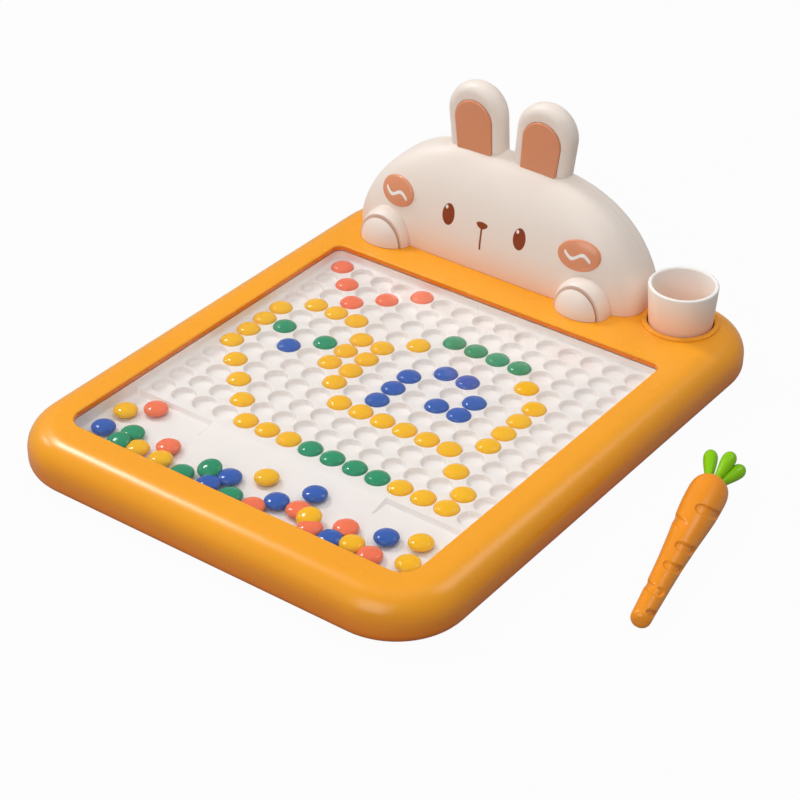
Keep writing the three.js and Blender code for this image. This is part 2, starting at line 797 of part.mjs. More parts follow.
add('top_frame', geometryOf(topFrame()), 'orange');
add('bottom_cover', geometryOf(bottomCover()), 'orange');
add('bead_tray', geometryOf(beadTray()), 'white');
add('clear_sheet', geometryOf(clearSheet()), 'clear');
const [frontShell, backShell] = headShells();
add('head_front', geometryOf(frontShell), 'cream');
add('head_back', geometryOf(backShell), 'cream');
for (const [word, side] of [['left', -1], ['right', 1]]) {
  add(`ear_${word}`, geometryOf(ear(side)), 'cream');
  add(`ear_panel_${word}`, geometryOf(panelSolid(side, 0).subtract(headSpace)), 'peach');
  add(`cheek_${word}`, geometryOf(cheek(side)), 'peach');
  add(`paw_${word}`, geometryOf(paw(side)), 'cream');
}
add('cup', geometryOf(cup()), 'cream');

const screwGeometry = geometryOf(screw());
coverScrews.forEach(([x, y], number) => {
  const mesh = add(`cover_screw_${number + 1}`, screwGeometry, 'steel');
  mesh.position.set(x, y, screwRecess - screwHeadHeight - seatGap);
});
headScrews.forEach(([x, y], number) => {
  const mesh = add(`head_screw_${number + 1}`, screwGeometry, 'steel');
  mesh.position.set(x, y, deckUnderside - screwHeadHeight - seatGap);
});
rearScrews.forEach((x, number) => {
  const mesh = add(`rear_screw_${number + 1}`, screwGeometry, 'steel');
  mesh.position.set(x, splitY + rearScrewDepth + screwHeadHeight + seatGap, rearZ);
  mesh.rotation.x = Math.PI / 2;
});

const beadGeometry = geometryOf(bead());
picture.forEach((line, row) => {
  [...line].forEach((letter, column) => {
    if (letter === '.') return;
    const mesh = add(`bead_r${row}_c${column}`, beadGeometry, colourOf[letter]);
    const z = boardZ - pocketDepth + seatGap + beadThickness / 2;
    mesh.position.set(firstColumnX + column * pitch, firstRowY + row * pitch, z);
  });
});
looseBeads_shares.forEach(([letter, across, along], number) => {
  const mesh = add(`loose_bead_${number + 1}`, beadGeometry, colourOf[letter]);
  const x = windowWidth * (across - 1 / 2);
  mesh.position.set(x, windowFront + troughLength * along, troughZ + seatGap + beadThickness / 2);
});

// The pen lies on the table on the edge of its tip and on its widest part
const pen = new THREE.Group();
const widest = penProfile[penProfile.length - 1];
const penPitch = Math.asin((widest[0] - penTipRadius) / (widest[1] - tipCapInset));
const penLift = penTipRadius / Math.cos(penPitch) + seatGap / 2;
pen.rotation.order = 'ZYX';
pen.rotation.set(-Math.PI / 2 + penPitch, 0, penTurn);
pen.position.set(frameWidth / 2 + penGap + penTipRadius, penTipY, penLift);
const magnetLow = tipCapThickness + seatGap;
const tipCap = bar(0, 0, magnetRadius, 0, tipCapThickness, penSides);
const magnet = bar(0, 0, magnetRadius, magnetLow, magnetLow + magnetLength, penSides);
add('pen_body', geometryOf(penBody()), 'orange', pen);
add('pen_tip_cap', geometryOf(tipCap), 'orange', pen);
add('pen_magnet', geometryOf(magnet), 'steel', pen);
add('pen_leaves', geometryOf(leaves()), 'leaf', pen);
board.add(pen);

export default board;
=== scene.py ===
# %% [markdown]
# # A magnetic drawing board, piece by piece
# The board is a toy: a thick rounded orange frame holds a white tray of round pockets under a clear
# sheet, and coloured beads with a steel heart hop into the pockets when a magnet passes over them.
# A rabbit's head stands on the back deck beside a cup, and the pen is a carrot with a magnet in its
# tip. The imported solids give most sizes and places, so they are loaded first and stay where they are.

import math

import bmesh
import bpy
from mathutils import Matrix, Vector


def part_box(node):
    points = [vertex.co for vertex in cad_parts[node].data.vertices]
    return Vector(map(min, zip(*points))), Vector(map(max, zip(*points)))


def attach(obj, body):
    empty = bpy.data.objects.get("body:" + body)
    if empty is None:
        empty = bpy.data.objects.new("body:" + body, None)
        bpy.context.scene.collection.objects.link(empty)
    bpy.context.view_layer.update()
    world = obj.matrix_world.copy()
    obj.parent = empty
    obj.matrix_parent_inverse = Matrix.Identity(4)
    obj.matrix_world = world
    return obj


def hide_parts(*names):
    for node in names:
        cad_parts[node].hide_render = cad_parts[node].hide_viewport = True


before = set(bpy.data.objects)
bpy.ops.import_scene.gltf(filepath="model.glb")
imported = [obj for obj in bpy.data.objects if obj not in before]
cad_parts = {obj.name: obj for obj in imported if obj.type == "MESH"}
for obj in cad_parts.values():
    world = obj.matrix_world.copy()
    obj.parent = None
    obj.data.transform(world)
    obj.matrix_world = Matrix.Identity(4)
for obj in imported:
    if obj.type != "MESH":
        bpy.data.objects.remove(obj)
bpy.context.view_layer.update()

# %% [markdown]
# ## Working in millimetres
# Toys are drawn in millimetres, and Blender's frame is in metres. Each mesh here is modelled in
# millimetres and scaled once, when it becomes an object. The object itself then stays at the
# origin, unturned and unscaled, so that a pattern on Object coordinates stays on the piece.

# %% Millimetres, and the helpers that turn a finished form into a piece
MM = 0.001
SMOOTH_ANGLE = math.radians(38)


def span(node):
    """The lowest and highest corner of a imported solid, in millimetres."""
    low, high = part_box(node)
    return low / MM, high / MM


def kept(bm, name):
    """A form as a mesh that stays, with the bmesh freed."""
    mesh = bpy.data.meshes.new(name)
    bm.to_mesh(mesh)
    bm.free()
    return mesh


def shown(name, data):
    """A new object in the scene."""
    thing = bpy.data.objects.new(name, data)
    bpy.context.scene.collection.objects.link(thing)
    return thing


def stand(bm, name, finish, body, replaced=(), smooth=SMOOTH_ANGLE):
    """Turns a form in millimetres into a piece that rides on a body and may replace solids."""
    bmesh.ops.scale(bm, vec=(MM, MM, MM), verts=bm.verts)
    mesh = kept(bm, name)
    mesh.shade_smooth()
    mesh.set_sharp_from_angle(angle=smooth)
    mesh.materials.append(finish)
    piece = shown(name, mesh)
    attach(piece, body)
    if replaced:
        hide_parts(*replaced)
    return piece


# %% [markdown]
# ## The camera
# The picture was taken from the right of the board and well above it, with a long lens, which keeps
# the far edge nearly as wide as the near one. Four numbers say where the camera looks: the way round
# the board, the height above the table, a slight roll and the focal length.

# %% Camera
CAMERA_PLACE = Vector((0.61439, -0.84538, 0.69753))
CAMERA_AZIMUTH = math.radians(35.936)
CAMERA_ELEVATION = math.radians(33.443)
CAMERA_ROLL = math.radians(0.675)
FOCAL_LENGTH = 103.15


def aim(azimuth, elevation, roll):
    """A rotation that looks back along a direction given by its compass angle and its height."""
    back = Vector((
        math.sin(azimuth) * math.cos(elevation),
        -math.cos(azimuth) * math.cos(elevation),
        math.sin(elevation),
    ))
    level = (-back).to_track_quat("-Z", "Y").to_matrix().to_4x4()
    return level @ Matrix.Rotation(roll, 4, "Z")


camera_data = bpy.data.cameras.new("camera")
camera_data.lens = FOCAL_LENGTH
camera_data.sensor_width = 36
camera_data.clip_start = 0.05
camera_data.clip_end = 20
camera = shown("camera", camera_data)
camera.matrix_world = Matrix.Translation(CAMERA_PLACE) @ aim(CAMERA_AZIMUTH, CAMERA_ELEVATION, CAMERA_ROLL)
bpy.context.scene.camera = camera
print("camera at", [round(x, 3) for x in camera.location])

# %% [markdown]
# ## Shader maths as plain sums
# A material is a little program of nodes. To read it as sums, one class wraps a socket and turns
# `+`, `-`, `*` and `/` into Math nodes, and a second one holds a tree and adds every node to it.
# Colours go through Mix nodes, because a Math node would turn them grey.

# %% A socket that can be added, multiplied and compared
FULL_WHITE = (1, 1, 1, 1)


def maths(operation):
    """A method that adds one kind of Math node."""
    return lambda self, *terms: self.nodes.add("Math", dict(enumerate((self, *terms))), operation=operation)


class Signal:
    """One number that changes over a surface: sums with it add Math nodes to its tree."""

    def __init__(self, nodes, socket):
        self.nodes = nodes
        self.socket = socket

    __add__ = __radd__ = maths("ADD")
    __sub__ = maths("SUBTRACT")
    __mul__ = __rmul__ = maths("MULTIPLY")
    __truediv__ = maths("DIVIDE")
    power = maths("POWER")
    size = maths("ABSOLUTE")
    sine = maths("SINE")
    larger = maths("MAXIMUM")
    smaller = maths("MINIMUM")

    def __rsub__(self, other):
        return self.nodes.add("Math", {0: other, 1: self}, operation="SUBTRACT")

    def clipped(self):
        return self.nodes.add("Clamp", {"Value": self})


class Nodes:
    """The node tree of a material or of the world."""

    def __init__(self, owner):
        owner.use_nodes = True
        self.tree = owner.node_tree

    def add(self, kind, inputs=None, output=0, **settings):
        """Adds a node: its settings first, then the values or links of its sockets."""
        node = self.tree.nodes.new("ShaderNode" + kind)
        for name, value in settings.items():
            setattr(node, name, value)
        for name, value in (inputs or {}).items():
            self.feed(node.inputs[name], value)
        return Signal(self, node.outputs[output])

    def feed(self, socket, value):
        if isinstance(value, Signal):
            self.tree.links.new(value.socket, socket)
        else:
            socket.default_value = value

    def end(self, share, first, second):
        """Mixes two shaders into the tree's output."""
        both = self.add("MixShader", {0: share, 1: first, 2: second})
        output = next(node for node in self.tree.nodes if node.type.startswith("OUTPUT"))
        self.feed(output.inputs["Surface"], both)


class Finish(Nodes):
    """One material: its shader, and the nodes that feed the shader."""

    def __init__(self, name):
        self.material = bpy.data.materials.new(name)
        super().__init__(self.material)
        self.shader = self.tree.nodes["Principled BSDF"]

    def set(self, **values):
        """Sets or feeds the shader's own sockets: base_color stands for Base Color, and so on."""
        for name, value in values.items():
            words = name.replace("_", " ").title().replace("Ior", "IOR")
            self.feed(self.shader.inputs[words], value)
        return self

    def place(self):
        """Where a point lies on the piece, in metres."""
        return self.add("TexCoord", output="Object")

    def axes(self):
        """Where a point lies on the piece, as three numbers in millimetres."""
        place = self.place()
        return [self.add("SeparateXYZ", {0: place}, output=k) / MM for k in range(3)]

    def mix(self, share, first, second):
        """A colour between two others."""
        return self.add("Mix", {0: share, 6: first, 7: second}, output=2, data_type="RGBA")

    def noise(self, scale, detail=2.0):
        """Cloudy variation with so many clouds to the metre, from 0 to 1."""
        return self.add("TexNoise", {"Vector": self.place(), "Scale": scale, "Detail": detail})

    def bump(self, height, depth):
        """A surface raised by a height from 0 to 1 times a depth in metres."""
        return self.add("Bump", {"Height": height, "Distance": depth, "Strength": 1.0})


def tint(red, green, blue):
    """A colour as a paint chart gives it, from 0 to 255, turned into Blender's linear light."""
    shares = [value / 255 for value in (red, green, blue)]
    linear = [s / 12.92 if s <= 0.04045 else ((s + 0.055) / 1.055) ** 2.4 for s in shares]
    return (*linear, 1.0)


def shaded(colour, share):
    """The same colour, lighter or darker."""
    return (*(min(1.0, channel * share) for channel in colour[:3]), 1.0)


# %% [markdown]
# ## The plastics
# Nearly everything on the board is moulded plastic. Such plastic is never quite even: the mould
# leaves a very fine grain, the gloss wanders a little where the melt cooled, and the colour is a
# trace deeper in places. All three come from noise at real scales: clouds of about 5 cm for the
# colour, 2 cm for the gloss, and grains of under a millimetre for the bump. The finish keeps its
# colour and its roughness, so that a piece with a print or a shade can go on from them.

# %% Moulded plastic
CLOUDS = 20
GLOSS_CLOUDS = 55
GRAINS = 1400
GRAIN_DEPTH = 0.00001


def moulded(name, colour, roughness, uneven=0.05, grain=GRAIN_DEPTH, deeper=0.93):
    """A finish for moulded plastic: cloudy colour, wandering gloss and a fine grain."""
    finish = Finish(name)
    finish.colour = finish.mix(finish.noise(CLOUDS), shaded(colour, deeper), shaded(colour, 2 - deeper))
    finish.roughness = roughness - uneven / 2 + uneven * finish.noise(GLOSS_CLOUDS)
    grains = finish.bump(finish.noise(GRAINS, detail=1.0), grain)
    return finish.set(base_color=finish.colour, roughness=finish.roughness, normal=grains)


ORANGE = tint(255, 167, 34)
CREAM = tint(246, 233, 222)
PEACH = tint(230, 152, 112)
ORANGE_ROUGHNESS = 0.27
SKIN_ROUGHNESS = 0.445
BEAD_COLOURS = {
    "Y": ("bead_yellow", tint(255, 188, 0)),
    "G": ("bead_green", tint(30, 148, 104)),
    "B": ("bead_blue", tint(44, 92, 180)),
    "C": ("bead_coral", tint(250, 120, 80)),
}

orange_plastic = moulded("orange_plastic", ORANGE, ORANGE_ROUGHNESS).material
pen_plastic = moulded("pen_plastic", tint(252, 152, 24), ORANGE_ROUGHNESS).material
white_plastic = moulded("white_plastic", tint(243, 237, 233), 0.45, deeper=0.98).material
cream_plastic = moulded("cream_plastic", CREAM, 0.42, deeper=0.98).material
panel_plastic = moulded("panel_plastic", PEACH, 0.24, deeper=0.96).material
leaf_plastic = moulded("leaf_plastic", tint(138, 206, 6), 0.2).set(specular_ior_level=0.3).material
bead_plastics = {}
for letter, (slot, colour) in BEAD_COLOURS.items():
    finish = moulded(slot, colour, 0.11, uneven=0.04, grain=GRAIN_DEPTH / 4)
    bead_plastics[letter] = finish.set(specular_ior_level=0.3).material
print("plastics:", len(bpy.data.materials))

# %% [markdown]
# ## Steel, and the clear sheet
# The screws are zinc plated steel: metal with fine turned scratches and duller patches. The clear
# sheet is the opposite, almost nothing to see. A refracting glass would turn the tray dark under
# it, so the sheet is mixed from a shader that lets light straight through and a mirror. The mirror's
# share is small and grows towards a flat view. A Fresnel node would mirror fully on the way out of
# the sheet, because the light isn't bent on its way in, so the share comes from the facing angle.

# %% Steel and the clear sheet
MIRROR_STRAIGHT = 0.01
MIRROR_GLANCING = 2.6
MIRROR_POWER = 5
MIRROR_ROUGHNESS = 0.1
SCUFF_SHARE = 0.2


def clear_plastic():
    finish = Finish("clear_plastic")
    finish.tree.nodes.remove(finish.shader)
    scuffs = 1 - SCUFF_SHARE + SCUFF_SHARE * finish.noise(GLOSS_CLOUDS)
    through = finish.add("BsdfTransparent")
    mirror = finish.add("BsdfGlossy", {"Roughness": MIRROR_ROUGHNESS, "Color": FULL_WHITE})
    glancing = finish.add("LayerWeight", {"Blend": 0.5}, output="Facing")
    share = (MIRROR_STRAIGHT + MIRROR_GLANCING * glancing.power(MIRROR_POWER)) * scuffs
    finish.end(share, through, mirror)
    return finish.material


steel = moulded("plated_steel", tint(176, 178, 182), 0.34, uneven=0.16, deeper=0.9).set(metallic=1.0).material
clear = clear_plastic()
print("steel and clear sheet are ready")

# %% [markdown]
# ## Rounding by insets, turning and carving
# Most forms here are flat outlines with rounded edges. An edge of any section can be made from a
# face alone: inset it a little and lift it a little, again and again, along a quarter of an
# ellipse. That keeps even rows of faces, which a single wide bevel at tight corners doesn't. Round
# forms are turned from a profile, and where two forms meet, one carves the other.

# %% Outlines, rounded edges, turned forms and cuts
CORNER_STEPS = 16


def moved(bm, place):
    bmesh.ops.translate(bm, vec=place, verts=bm.verts)
    return bm


def turned(bm, angle, axis):
    bmesh.ops.rotate(bm, matrix=Matrix.Rotation(angle, 3, axis), verts=bm.verts)
    return bm


def tidy(bm, distance=0.0005):
    """Merges doubles and turns all faces of a closed mesh outwards."""
    bmesh.ops.remove_doubles(bm, verts=bm.verts, dist=distance)
    bmesh.ops.recalc_face_normals(bm, faces=bm.faces)
    return bm


def facing(face, up=True):
    """The face, flipped if it looks the wrong way along Z."""
    face.normal_update()
    if (face.normal.z > 0) != up:
        face.normal_flip()
    return face


def rounded_face(bm, sides, height, radii, steps=CORNER_STEPS):
    """A flat face facing up with rounded corners, from the front left one counterclockwise."""
    left, right, front, back = sides
    places = [(left, front), (right, front), (right, back), (left, back)]
    corners = [bm.verts.new((x, y, height)) for x, y in places]
    face = bm.faces.new(corners)
    for corner, radius in zip(corners, radii):
        if radius:
            made = bmesh.ops.bevel(
                bm, geom=[corner], offset=radius, offset_type="OFFSET", segments=steps,
                profile=0.5, affect="VERTICES", material=-1, clamp_overlap=False,
            )
            face = made["verts"][0].link_faces[0]
    return facing(face)


def disc(bm, radius, sides, place):
    """A round face that looks up."""
    place = Matrix.Translation(place)
    made = bmesh.ops.create_circle(bm, cap_ends=True, radius=radius, segments=sides, matrix=place)
    return facing(made["verts"][0].link_faces[0])


def quarter_over(width, height, steps):
    """Insets and lifts that roll a side wall over into a flat top."""
    turns = [k / steps * math.pi / 2 for k in range(steps + 1)]
    return [
        (width * (math.cos(a) - math.cos(b)), height * (math.sin(b) - math.sin(a)))
        for a, b in zip(turns, turns[1:])
    ]


def quarter_down(width, height, steps):
    """Insets and drops that roll a flat top over into a hole's wall."""
    return [(inwards, -drop) for drop, inwards in quarter_over(height, width, steps)]


def quarter_floor(width, height, steps):
    """Insets and drops that round a hole's wall into its floor."""
    return [(inwards, -drop) for inwards, drop in quarter_over(width, height, steps)]


def step_in(bm, face, profile):
    """Insets a face along a list of insets and lifts; the face itself travels to the end."""
    for inwards, outwards in profile:
        bmesh.ops.inset_region(
            bm, faces=[face], thickness=inwards, depth=outwards, use_even_offset=True, use_boundary=True,
        )


def lift(bm, face, distance, keep=False):
    """Extrudes a face straight along Z and returns the far face; the near one may stay as an end."""
    made = bmesh.ops.extrude_face_region(bm, geom=[face])["geom"]
    far = [f for f in made if isinstance(f, bmesh.types.BMFace)][0]
    bmesh.ops.translate(bm, vec=(0, 0, distance), verts=far.verts)
    if not keep:
        bmesh.ops.delete(bm, geom=[face], context="FACES_ONLY")
    return far


def open_edges(bm, height, older=()):
    """The edges of open holes that lie at one height, apart from older ones."""
    found = [e for e in bm.edges if e.is_boundary and e not in older]
    return [e for e in found if all(abs(v.co.z - height) < 0.01 for v in e.verts)]


def cut(bm, place, normal, dist=0.0, clear=True):
    """Cuts along a plane and clears what lies behind it."""
    everything = bm.verts[:] + bm.edges[:] + bm.faces[:]
    bmesh.ops.bisect_plane(
        bm, geom=everything, dist=dist, plane_co=place, plane_no=normal, clear_inner=clear,
    )


def closed_floor(bm):
    """The form with its open side filled by one face."""
    bmesh.ops.holes_fill(bm, edges=[e for e in bm.edges if e.is_boundary])
    bmesh.ops.recalc_face_normals(bm, faces=bm.faces)
    return bm


def arc(centre, radii, start, end, steps):
    """Points of a profile along an ellipse, between two angles in degrees."""
    turns = [math.radians(start + (end - start) * k / steps) for k in range(steps + 1)]
    return [(centre[0] + radii[0] * math.cos(t), centre[1] + radii[1] * math.sin(t)) for t in turns]


def spun(profile, steps, place=(0, 0, 0)):
    """A closed form turned about Z from a profile of radius and height."""
    bm = bmesh.new()
    verts = [bm.verts.new((place[0] + radius, place[1], place[2] + height)) for radius, height in profile]
    edges = [bm.edges.new(pair) for pair in zip(verts, verts[1:])]
    bmesh.ops.spin(
        bm, geom=verts + edges, cent=place, axis=(0, 0, 1), angle=2 * math.pi, steps=steps, use_merge=True,
    )
    return tidy(bm)


def join(bm, part):
    """Adds another form as it is."""
    mesh = kept(part, "part")
    bm.from_mesh(mesh)
    bpy.data.meshes.remove(mesh)


def carve(bm, tool, operation="DIFFERENCE"):
    """Cuts or trims one closed form with another, by a Boolean modifier on objects kept for a moment."""
    body, cutter = (shown("carving", kept(part, "carving")) for part in (bm, tool))
    modifier = body.modifiers.new("carve", "BOOLEAN")
    modifier.object = cutter
    modifier.operation = operation
    modifier.solver = "EXACT"
    bpy.context.view_layer.update()
    result = bmesh.new()
    result.from_object(body, bpy.context.evaluated_depsgraph_get())
    for piece in (body, cutter):
        mesh = piece.data
        bpy.data.objects.remove(piece)
        bpy.data.meshes.remove(mesh)
    return result


# %% [markdown]
# ## The frame
# The frame is one deep moulding with a top edge so round that it carries the light along each
# rail. Its section is a small quarter circle below, a short upright side, and a large quarter of
# an ellipse above. The flat deck has two holes, the window and the cup's socket, so the last ring
# of the rounding, the window's lip and the collar are joined by a fill between three loops. Shade
# is painted into the orange: it turns deeper at the frame's foot and on the window's lip wall.

# %% Frame sizes, from the imported solids
frame_low, frame_high = span("top_frame")
head_low, head_high = span("head_front")
sheet_low, sheet_high = span("clear_sheet")
cup_low, cup_high = span("cup")
SEAT_GAP = 0.2
DECK = head_low.z - SEAT_GAP
SHEET_THICKNESS = 0.7
SHEET_GAP = 0.05
SHEET_OVERLAP = 2.6
UNDERSIDE = sheet_low.z + SHEET_THICKNESS + SHEET_GAP
FRAME_CORNER = 41
TOP_ROUND = (16, 14.5)
DECK_RING = 0.6
BOTTOM_ROUND = 7
RIM_WIDTH = 8.5
RECESS_SIDE = 16
RECESS_ROUND = 5
WINDOW_CORNERS = (11, 11, 5, 5)
LIP_ROUND = 0.9
LIP_REACH = 1.3
CUP_X = (cup_low.x + cup_high.x) / 2
CUP_Y = (cup_low.y + cup_high.y) / 2
CUP_RADIUS = (cup_high.x - cup_low.x) / 2
CUP_FOOT = 16.7
CUP_TAPER = (CUP_RADIUS - CUP_FOOT) / (cup_high.z - cup_low.z)
COLLAR_RADIUS = CUP_RADIUS + 2.2
COLLAR_HEIGHT = frame_high.z - DECK
COLLAR_ROUND = 0.75
SOCKET_GAP = 0.7
SOCKET_WALL = 1.4
SOCKET_BASE = 1.8
SOCKET_SIDES = 72
SOCKET_FLOOR = cup_low.z - SEAT_GAP
SOCKET_MOUTH = CUP_FOOT + SOCKET_GAP + CUP_TAPER * (DECK - SOCKET_FLOOR)
# Painted shade: the orange turns to this deeper colour towards the frame's foot and on the lip wall.
FOOT_AND_LIP_SHADE_ORANGE = tint(240, 118, 10)
FOOT_SHADE_HEIGHT = 21
LIP_MARGIN = 1.2
LIP_SHADE_BLUR = 0.3
LIP_SHADE_SHARE = 0.9
LIP_SHADE_TOP = 0.7


def grown(sides, margin):
    left, right, front, back = sides
    return (left - margin, right + margin, front - margin, back + margin)


sheet_sides = (sheet_low.x, sheet_high.x, sheet_low.y, sheet_high.y)
window_sides = grown(sheet_sides, -SHEET_OVERLAP)
print("deck at", round(DECK, 2), "window", [round(s, 2) for s in window_sides])


# %% Frame
def frame_shell():
    bm = bmesh.new()
    sides = (frame_low.x, frame_high.x, frame_low.y, frame_high.y)
    below = rounded_face(bm, sides, BOTTOM_ROUND, [FRAME_CORNER] * 4)
    above = lift(bm, below, DECK - TOP_ROUND[1] - BOTTOM_ROUND, keep=True)
    step_in(bm, above, quarter_over(*TOP_ROUND, 14) + [(DECK_RING, 0)])
    facing(below, up=False)
    step_in(bm, below, quarter_over(BOTTOM_ROUND, BOTTOM_ROUND, 8) + [(RIM_WIDTH - BOTTOM_ROUND, 0)])
    recess = lift(bm, below, RECESS_SIDE)
    step_in(bm, recess, quarter_floor(RECESS_ROUND, UNDERSIDE - RECESS_SIDE, 4))
    bmesh.ops.delete(bm, geom=[above, recess], context="FACES_ONLY")

    left, right, front, back = window_sides
    lip_sides = grown((left, right, front + LIP_REACH, back), LIP_ROUND)
    lip = rounded_face(bm, lip_sides, DECK, [r + LIP_ROUND for r in WINDOW_CORNERS])
    step_in(bm, lip, quarter_down(LIP_ROUND, LIP_ROUND, 6))
    lip = lift(bm, lip, UNDERSIDE - DECK + LIP_ROUND)

    collar = disc(bm, COLLAR_RADIUS, SOCKET_SIDES, (CUP_X, CUP_Y, DECK))
    collar = lift(bm, collar, COLLAR_HEIGHT - COLLAR_ROUND)
    step_in(bm, collar, quarter_over(COLLAR_ROUND, COLLAR_ROUND, 5))
    step_in(bm, collar, [(COLLAR_RADIUS - 2 * COLLAR_ROUND - SOCKET_MOUTH, 0)])
    step_in(bm, collar, quarter_down(COLLAR_ROUND, COLLAR_ROUND, 5))
    collar = lift(bm, collar, UNDERSIDE - DECK - COLLAR_HEIGHT + COLLAR_ROUND)
    bmesh.ops.delete(bm, geom=[lip, collar], context="FACES_ONLY")
    for height in (DECK, UNDERSIDE):
        bmesh.ops.triangle_fill(bm, use_beauty=True, edges=open_edges(bm, height))
    return tidy(bm)


def within(place, low, high):
    """How far a point is inside two limits, in widths of the lip's shade."""
    return ((high - low) / 2 - (place - (low + high) / 2).size()) / LIP_SHADE_BLUR


def frame_plastic():
    finish = moulded("frame_plastic", ORANGE, ORANGE_ROUGHNESS)
    x, y, z = finish.axes()
    left, right, front, back = grown(window_sides, LIP_MARGIN)
    # Painted shade: a deeper orange towards the foot of the frame and on the lip wall under the deck.
    foot = (1 - z / FOOT_SHADE_HEIGHT).clipped()
    below = (DECK - LIP_ROUND * LIP_SHADE_TOP - z) / LIP_SHADE_BLUR
    lip = below.smaller(within(x, left, right)).smaller(within(y, front, back)).clipped()
    finish.set(base_color=finish.mix(foot.larger(lip * LIP_SHADE_SHARE), finish.colour, FOOT_AND_LIP_SHADE_ORANGE))
    return finish.material


def cup_well():
    """The socket below the deck: a separate thick beaker that hangs under the collar."""
    outer = SOCKET_MOUTH + SOCKET_WALL
    base = SOCKET_FLOOR - SOCKET_BASE
    profile = [
        (0, SOCKET_FLOOR), (CUP_FOOT + SOCKET_GAP, SOCKET_FLOOR), (SOCKET_MOUTH, UNDERSIDE),
        (outer, UNDERSIDE), (outer, base), (0, base),
    ]
    return spun(profile, SOCKET_SIDES, (CUP_X, CUP_Y, 0))


frame_piece = stand(frame_shell(), "frame", frame_plastic(), "board", ["top_frame"])
stand(cup_well(), "cup_well", orange_plastic, "board")
print("frame:", len(frame_piece.data.polygons), "faces")

# %% [markdown]
# ## The tray
# Under the clear sheet lies a white tray: a board with 180 round pockets, a low step down to a
# trough for spare beads, and a ramp in the middle of the step, up which the magnet drags a bead.
# The tray starts as one floor with its walls pulled up and the corner between them rounded. Three
# cuts across it and four along it give the edges of the step and the ramp, and lifting the right
# corners makes both. Then one pocket is modelled and copied along the lattice, and a plain box
# closes the tray outside and below.

# %% Tray
tray_low, tray_high = span("bead_tray")
PITCH = 14.5
COLUMNS = 15
ROWS = 12
POCKET_RADIUS = 6.9
POCKET_DEPTH = 3.0
POCKET_DRAFT = 0.5
POCKET_ROUND = 0.3
POCKET_FILLET = 0.8
POCKET_SIDES = 32
TRAY_WALL = 1.6
CHAMBER_HEIGHT = 5.2
STEP_HEIGHT = 2.5
STEP_DRAFT = 1.4
RAMP_LENGTH = 12
RAMP_WIDTH = 114
TROUGH_LENGTH = 57
FOOT_FILLET = 1.8
TRAY_TOP = sheet_low.z - SHEET_GAP
BOARD = tray_high.z + SEAT_GAP - CHAMBER_HEIGHT
TROUGH = BOARD - STEP_HEIGHT
STEP_Y = window_sides[2] + TROUGH_LENGTH
FIRST_COLUMN = -(COLUMNS - 1) * PITCH / 2
first_low, first_high = span("bead_r0_c4")
FIRST_ROW = (first_low.y + first_high.y) / 2


def tray_box(bm):
    """Floor and walls with the step and the ramp, and a hole where the board's lattice goes."""
    floor = rounded_face(bm, window_sides, TROUGH, WINDOW_CORNERS)
    rim = list(floor.edges)
    walls = bmesh.ops.extrude_edge_only(bm, edges=rim)["geom"]
    tops = [v for v in walls if isinstance(v, bmesh.types.BMVert)]
    bmesh.ops.translate(bm, vec=(0, 0, TRAY_TOP - TROUGH), verts=tops)
    bmesh.ops.bevel(
        bm, geom=rim, offset=FOOT_FILLET, offset_type="OFFSET", segments=4, profile=0.5,
        affect="EDGES", material=-1,
    )
    half = RAMP_WIDTH / 2
    for y in (STEP_Y, STEP_Y - STEP_DRAFT, STEP_Y - RAMP_LENGTH):
        cut(bm, (0, y, 0), (0, 1, 0), clear=False)
    for x in (-half - STEP_DRAFT, -half, half, half + STEP_DRAFT):
        cut(bm, (x, 0, 0), (1, 0, 0), clear=False)
    close = STEP_DRAFT / 4
    for vert in bm.verts:
        if vert.co.z < TROUGH + FOOT_FILLET + close:
            if vert.co.y > STEP_Y - close:
                vert.co.z += STEP_HEIGHT
            elif abs(vert.co.y - STEP_Y + STEP_DRAFT) < close and abs(vert.co.x) < half + close:
                vert.co.z += STEP_HEIGHT * (1 - STEP_DRAFT / RAMP_LENGTH)
    board = [f for f in bm.faces if all(abs(v.co.z - BOARD) < 0.01 for v in f.verts)]
    bmesh.ops.delete(bm, geom=board, context="FACES")


def pocket_cell(bm):
    """One square of the board with its round pocket."""
    older = set(bm.edges)
    place = (FIRST_COLUMN, FIRST_ROW, BOARD)
    pocket = disc(bm, POCKET_RADIUS + POCKET_ROUND / 2, POCKET_SIDES, place)
    wall = POCKET_DEPTH - POCKET_ROUND - POCKET_FILLET
    step_in(bm, pocket, quarter_down(POCKET_ROUND, POCKET_ROUND, 3) + [(POCKET_DRAFT, -wall)])
    step_in(bm, pocket, quarter_floor(POCKET_FILLET, POCKET_FILLET, 3))
    mouth = open_edges(bm, BOARD, older)
    square = bmesh.ops.create_circle(
        bm, cap_ends=False, radius=PITCH / math.sqrt(2), segments=4,
        matrix=Matrix.Translation(place) @ Matrix.Rotation(math.pi / 4, 4, "Z"),
    )
    border = list({e for v in square["verts"] for e in v.link_edges})
    bmesh.ops.triangle_fill(bm, use_beauty=True, edges=mouth + border)


def pocket_lattice(bm):
    """The pocket's cell, copied along rows and columns and merged into one sheet."""
    before = set(bm.verts)
    pocket_cell(bm)
    verts = [v for v in bm.verts if v not in before]
    cell = verts + list({e for v in verts for e in v.link_edges} | {f for v in verts for f in v.link_faces})
    for row in range(ROWS):
        for column in range(COLUMNS):
            if row or column:
                made = bmesh.ops.duplicate(bm, geom=cell)["geom"]
                copies = [v for v in made if isinstance(v, bmesh.types.BMVert)]
                bmesh.ops.translate(bm, vec=(column * PITCH, row * PITCH, 0), verts=copies)
    bmesh.ops.remove_doubles(bm, verts=[v for v in bm.verts if v not in before], dist=0.01)


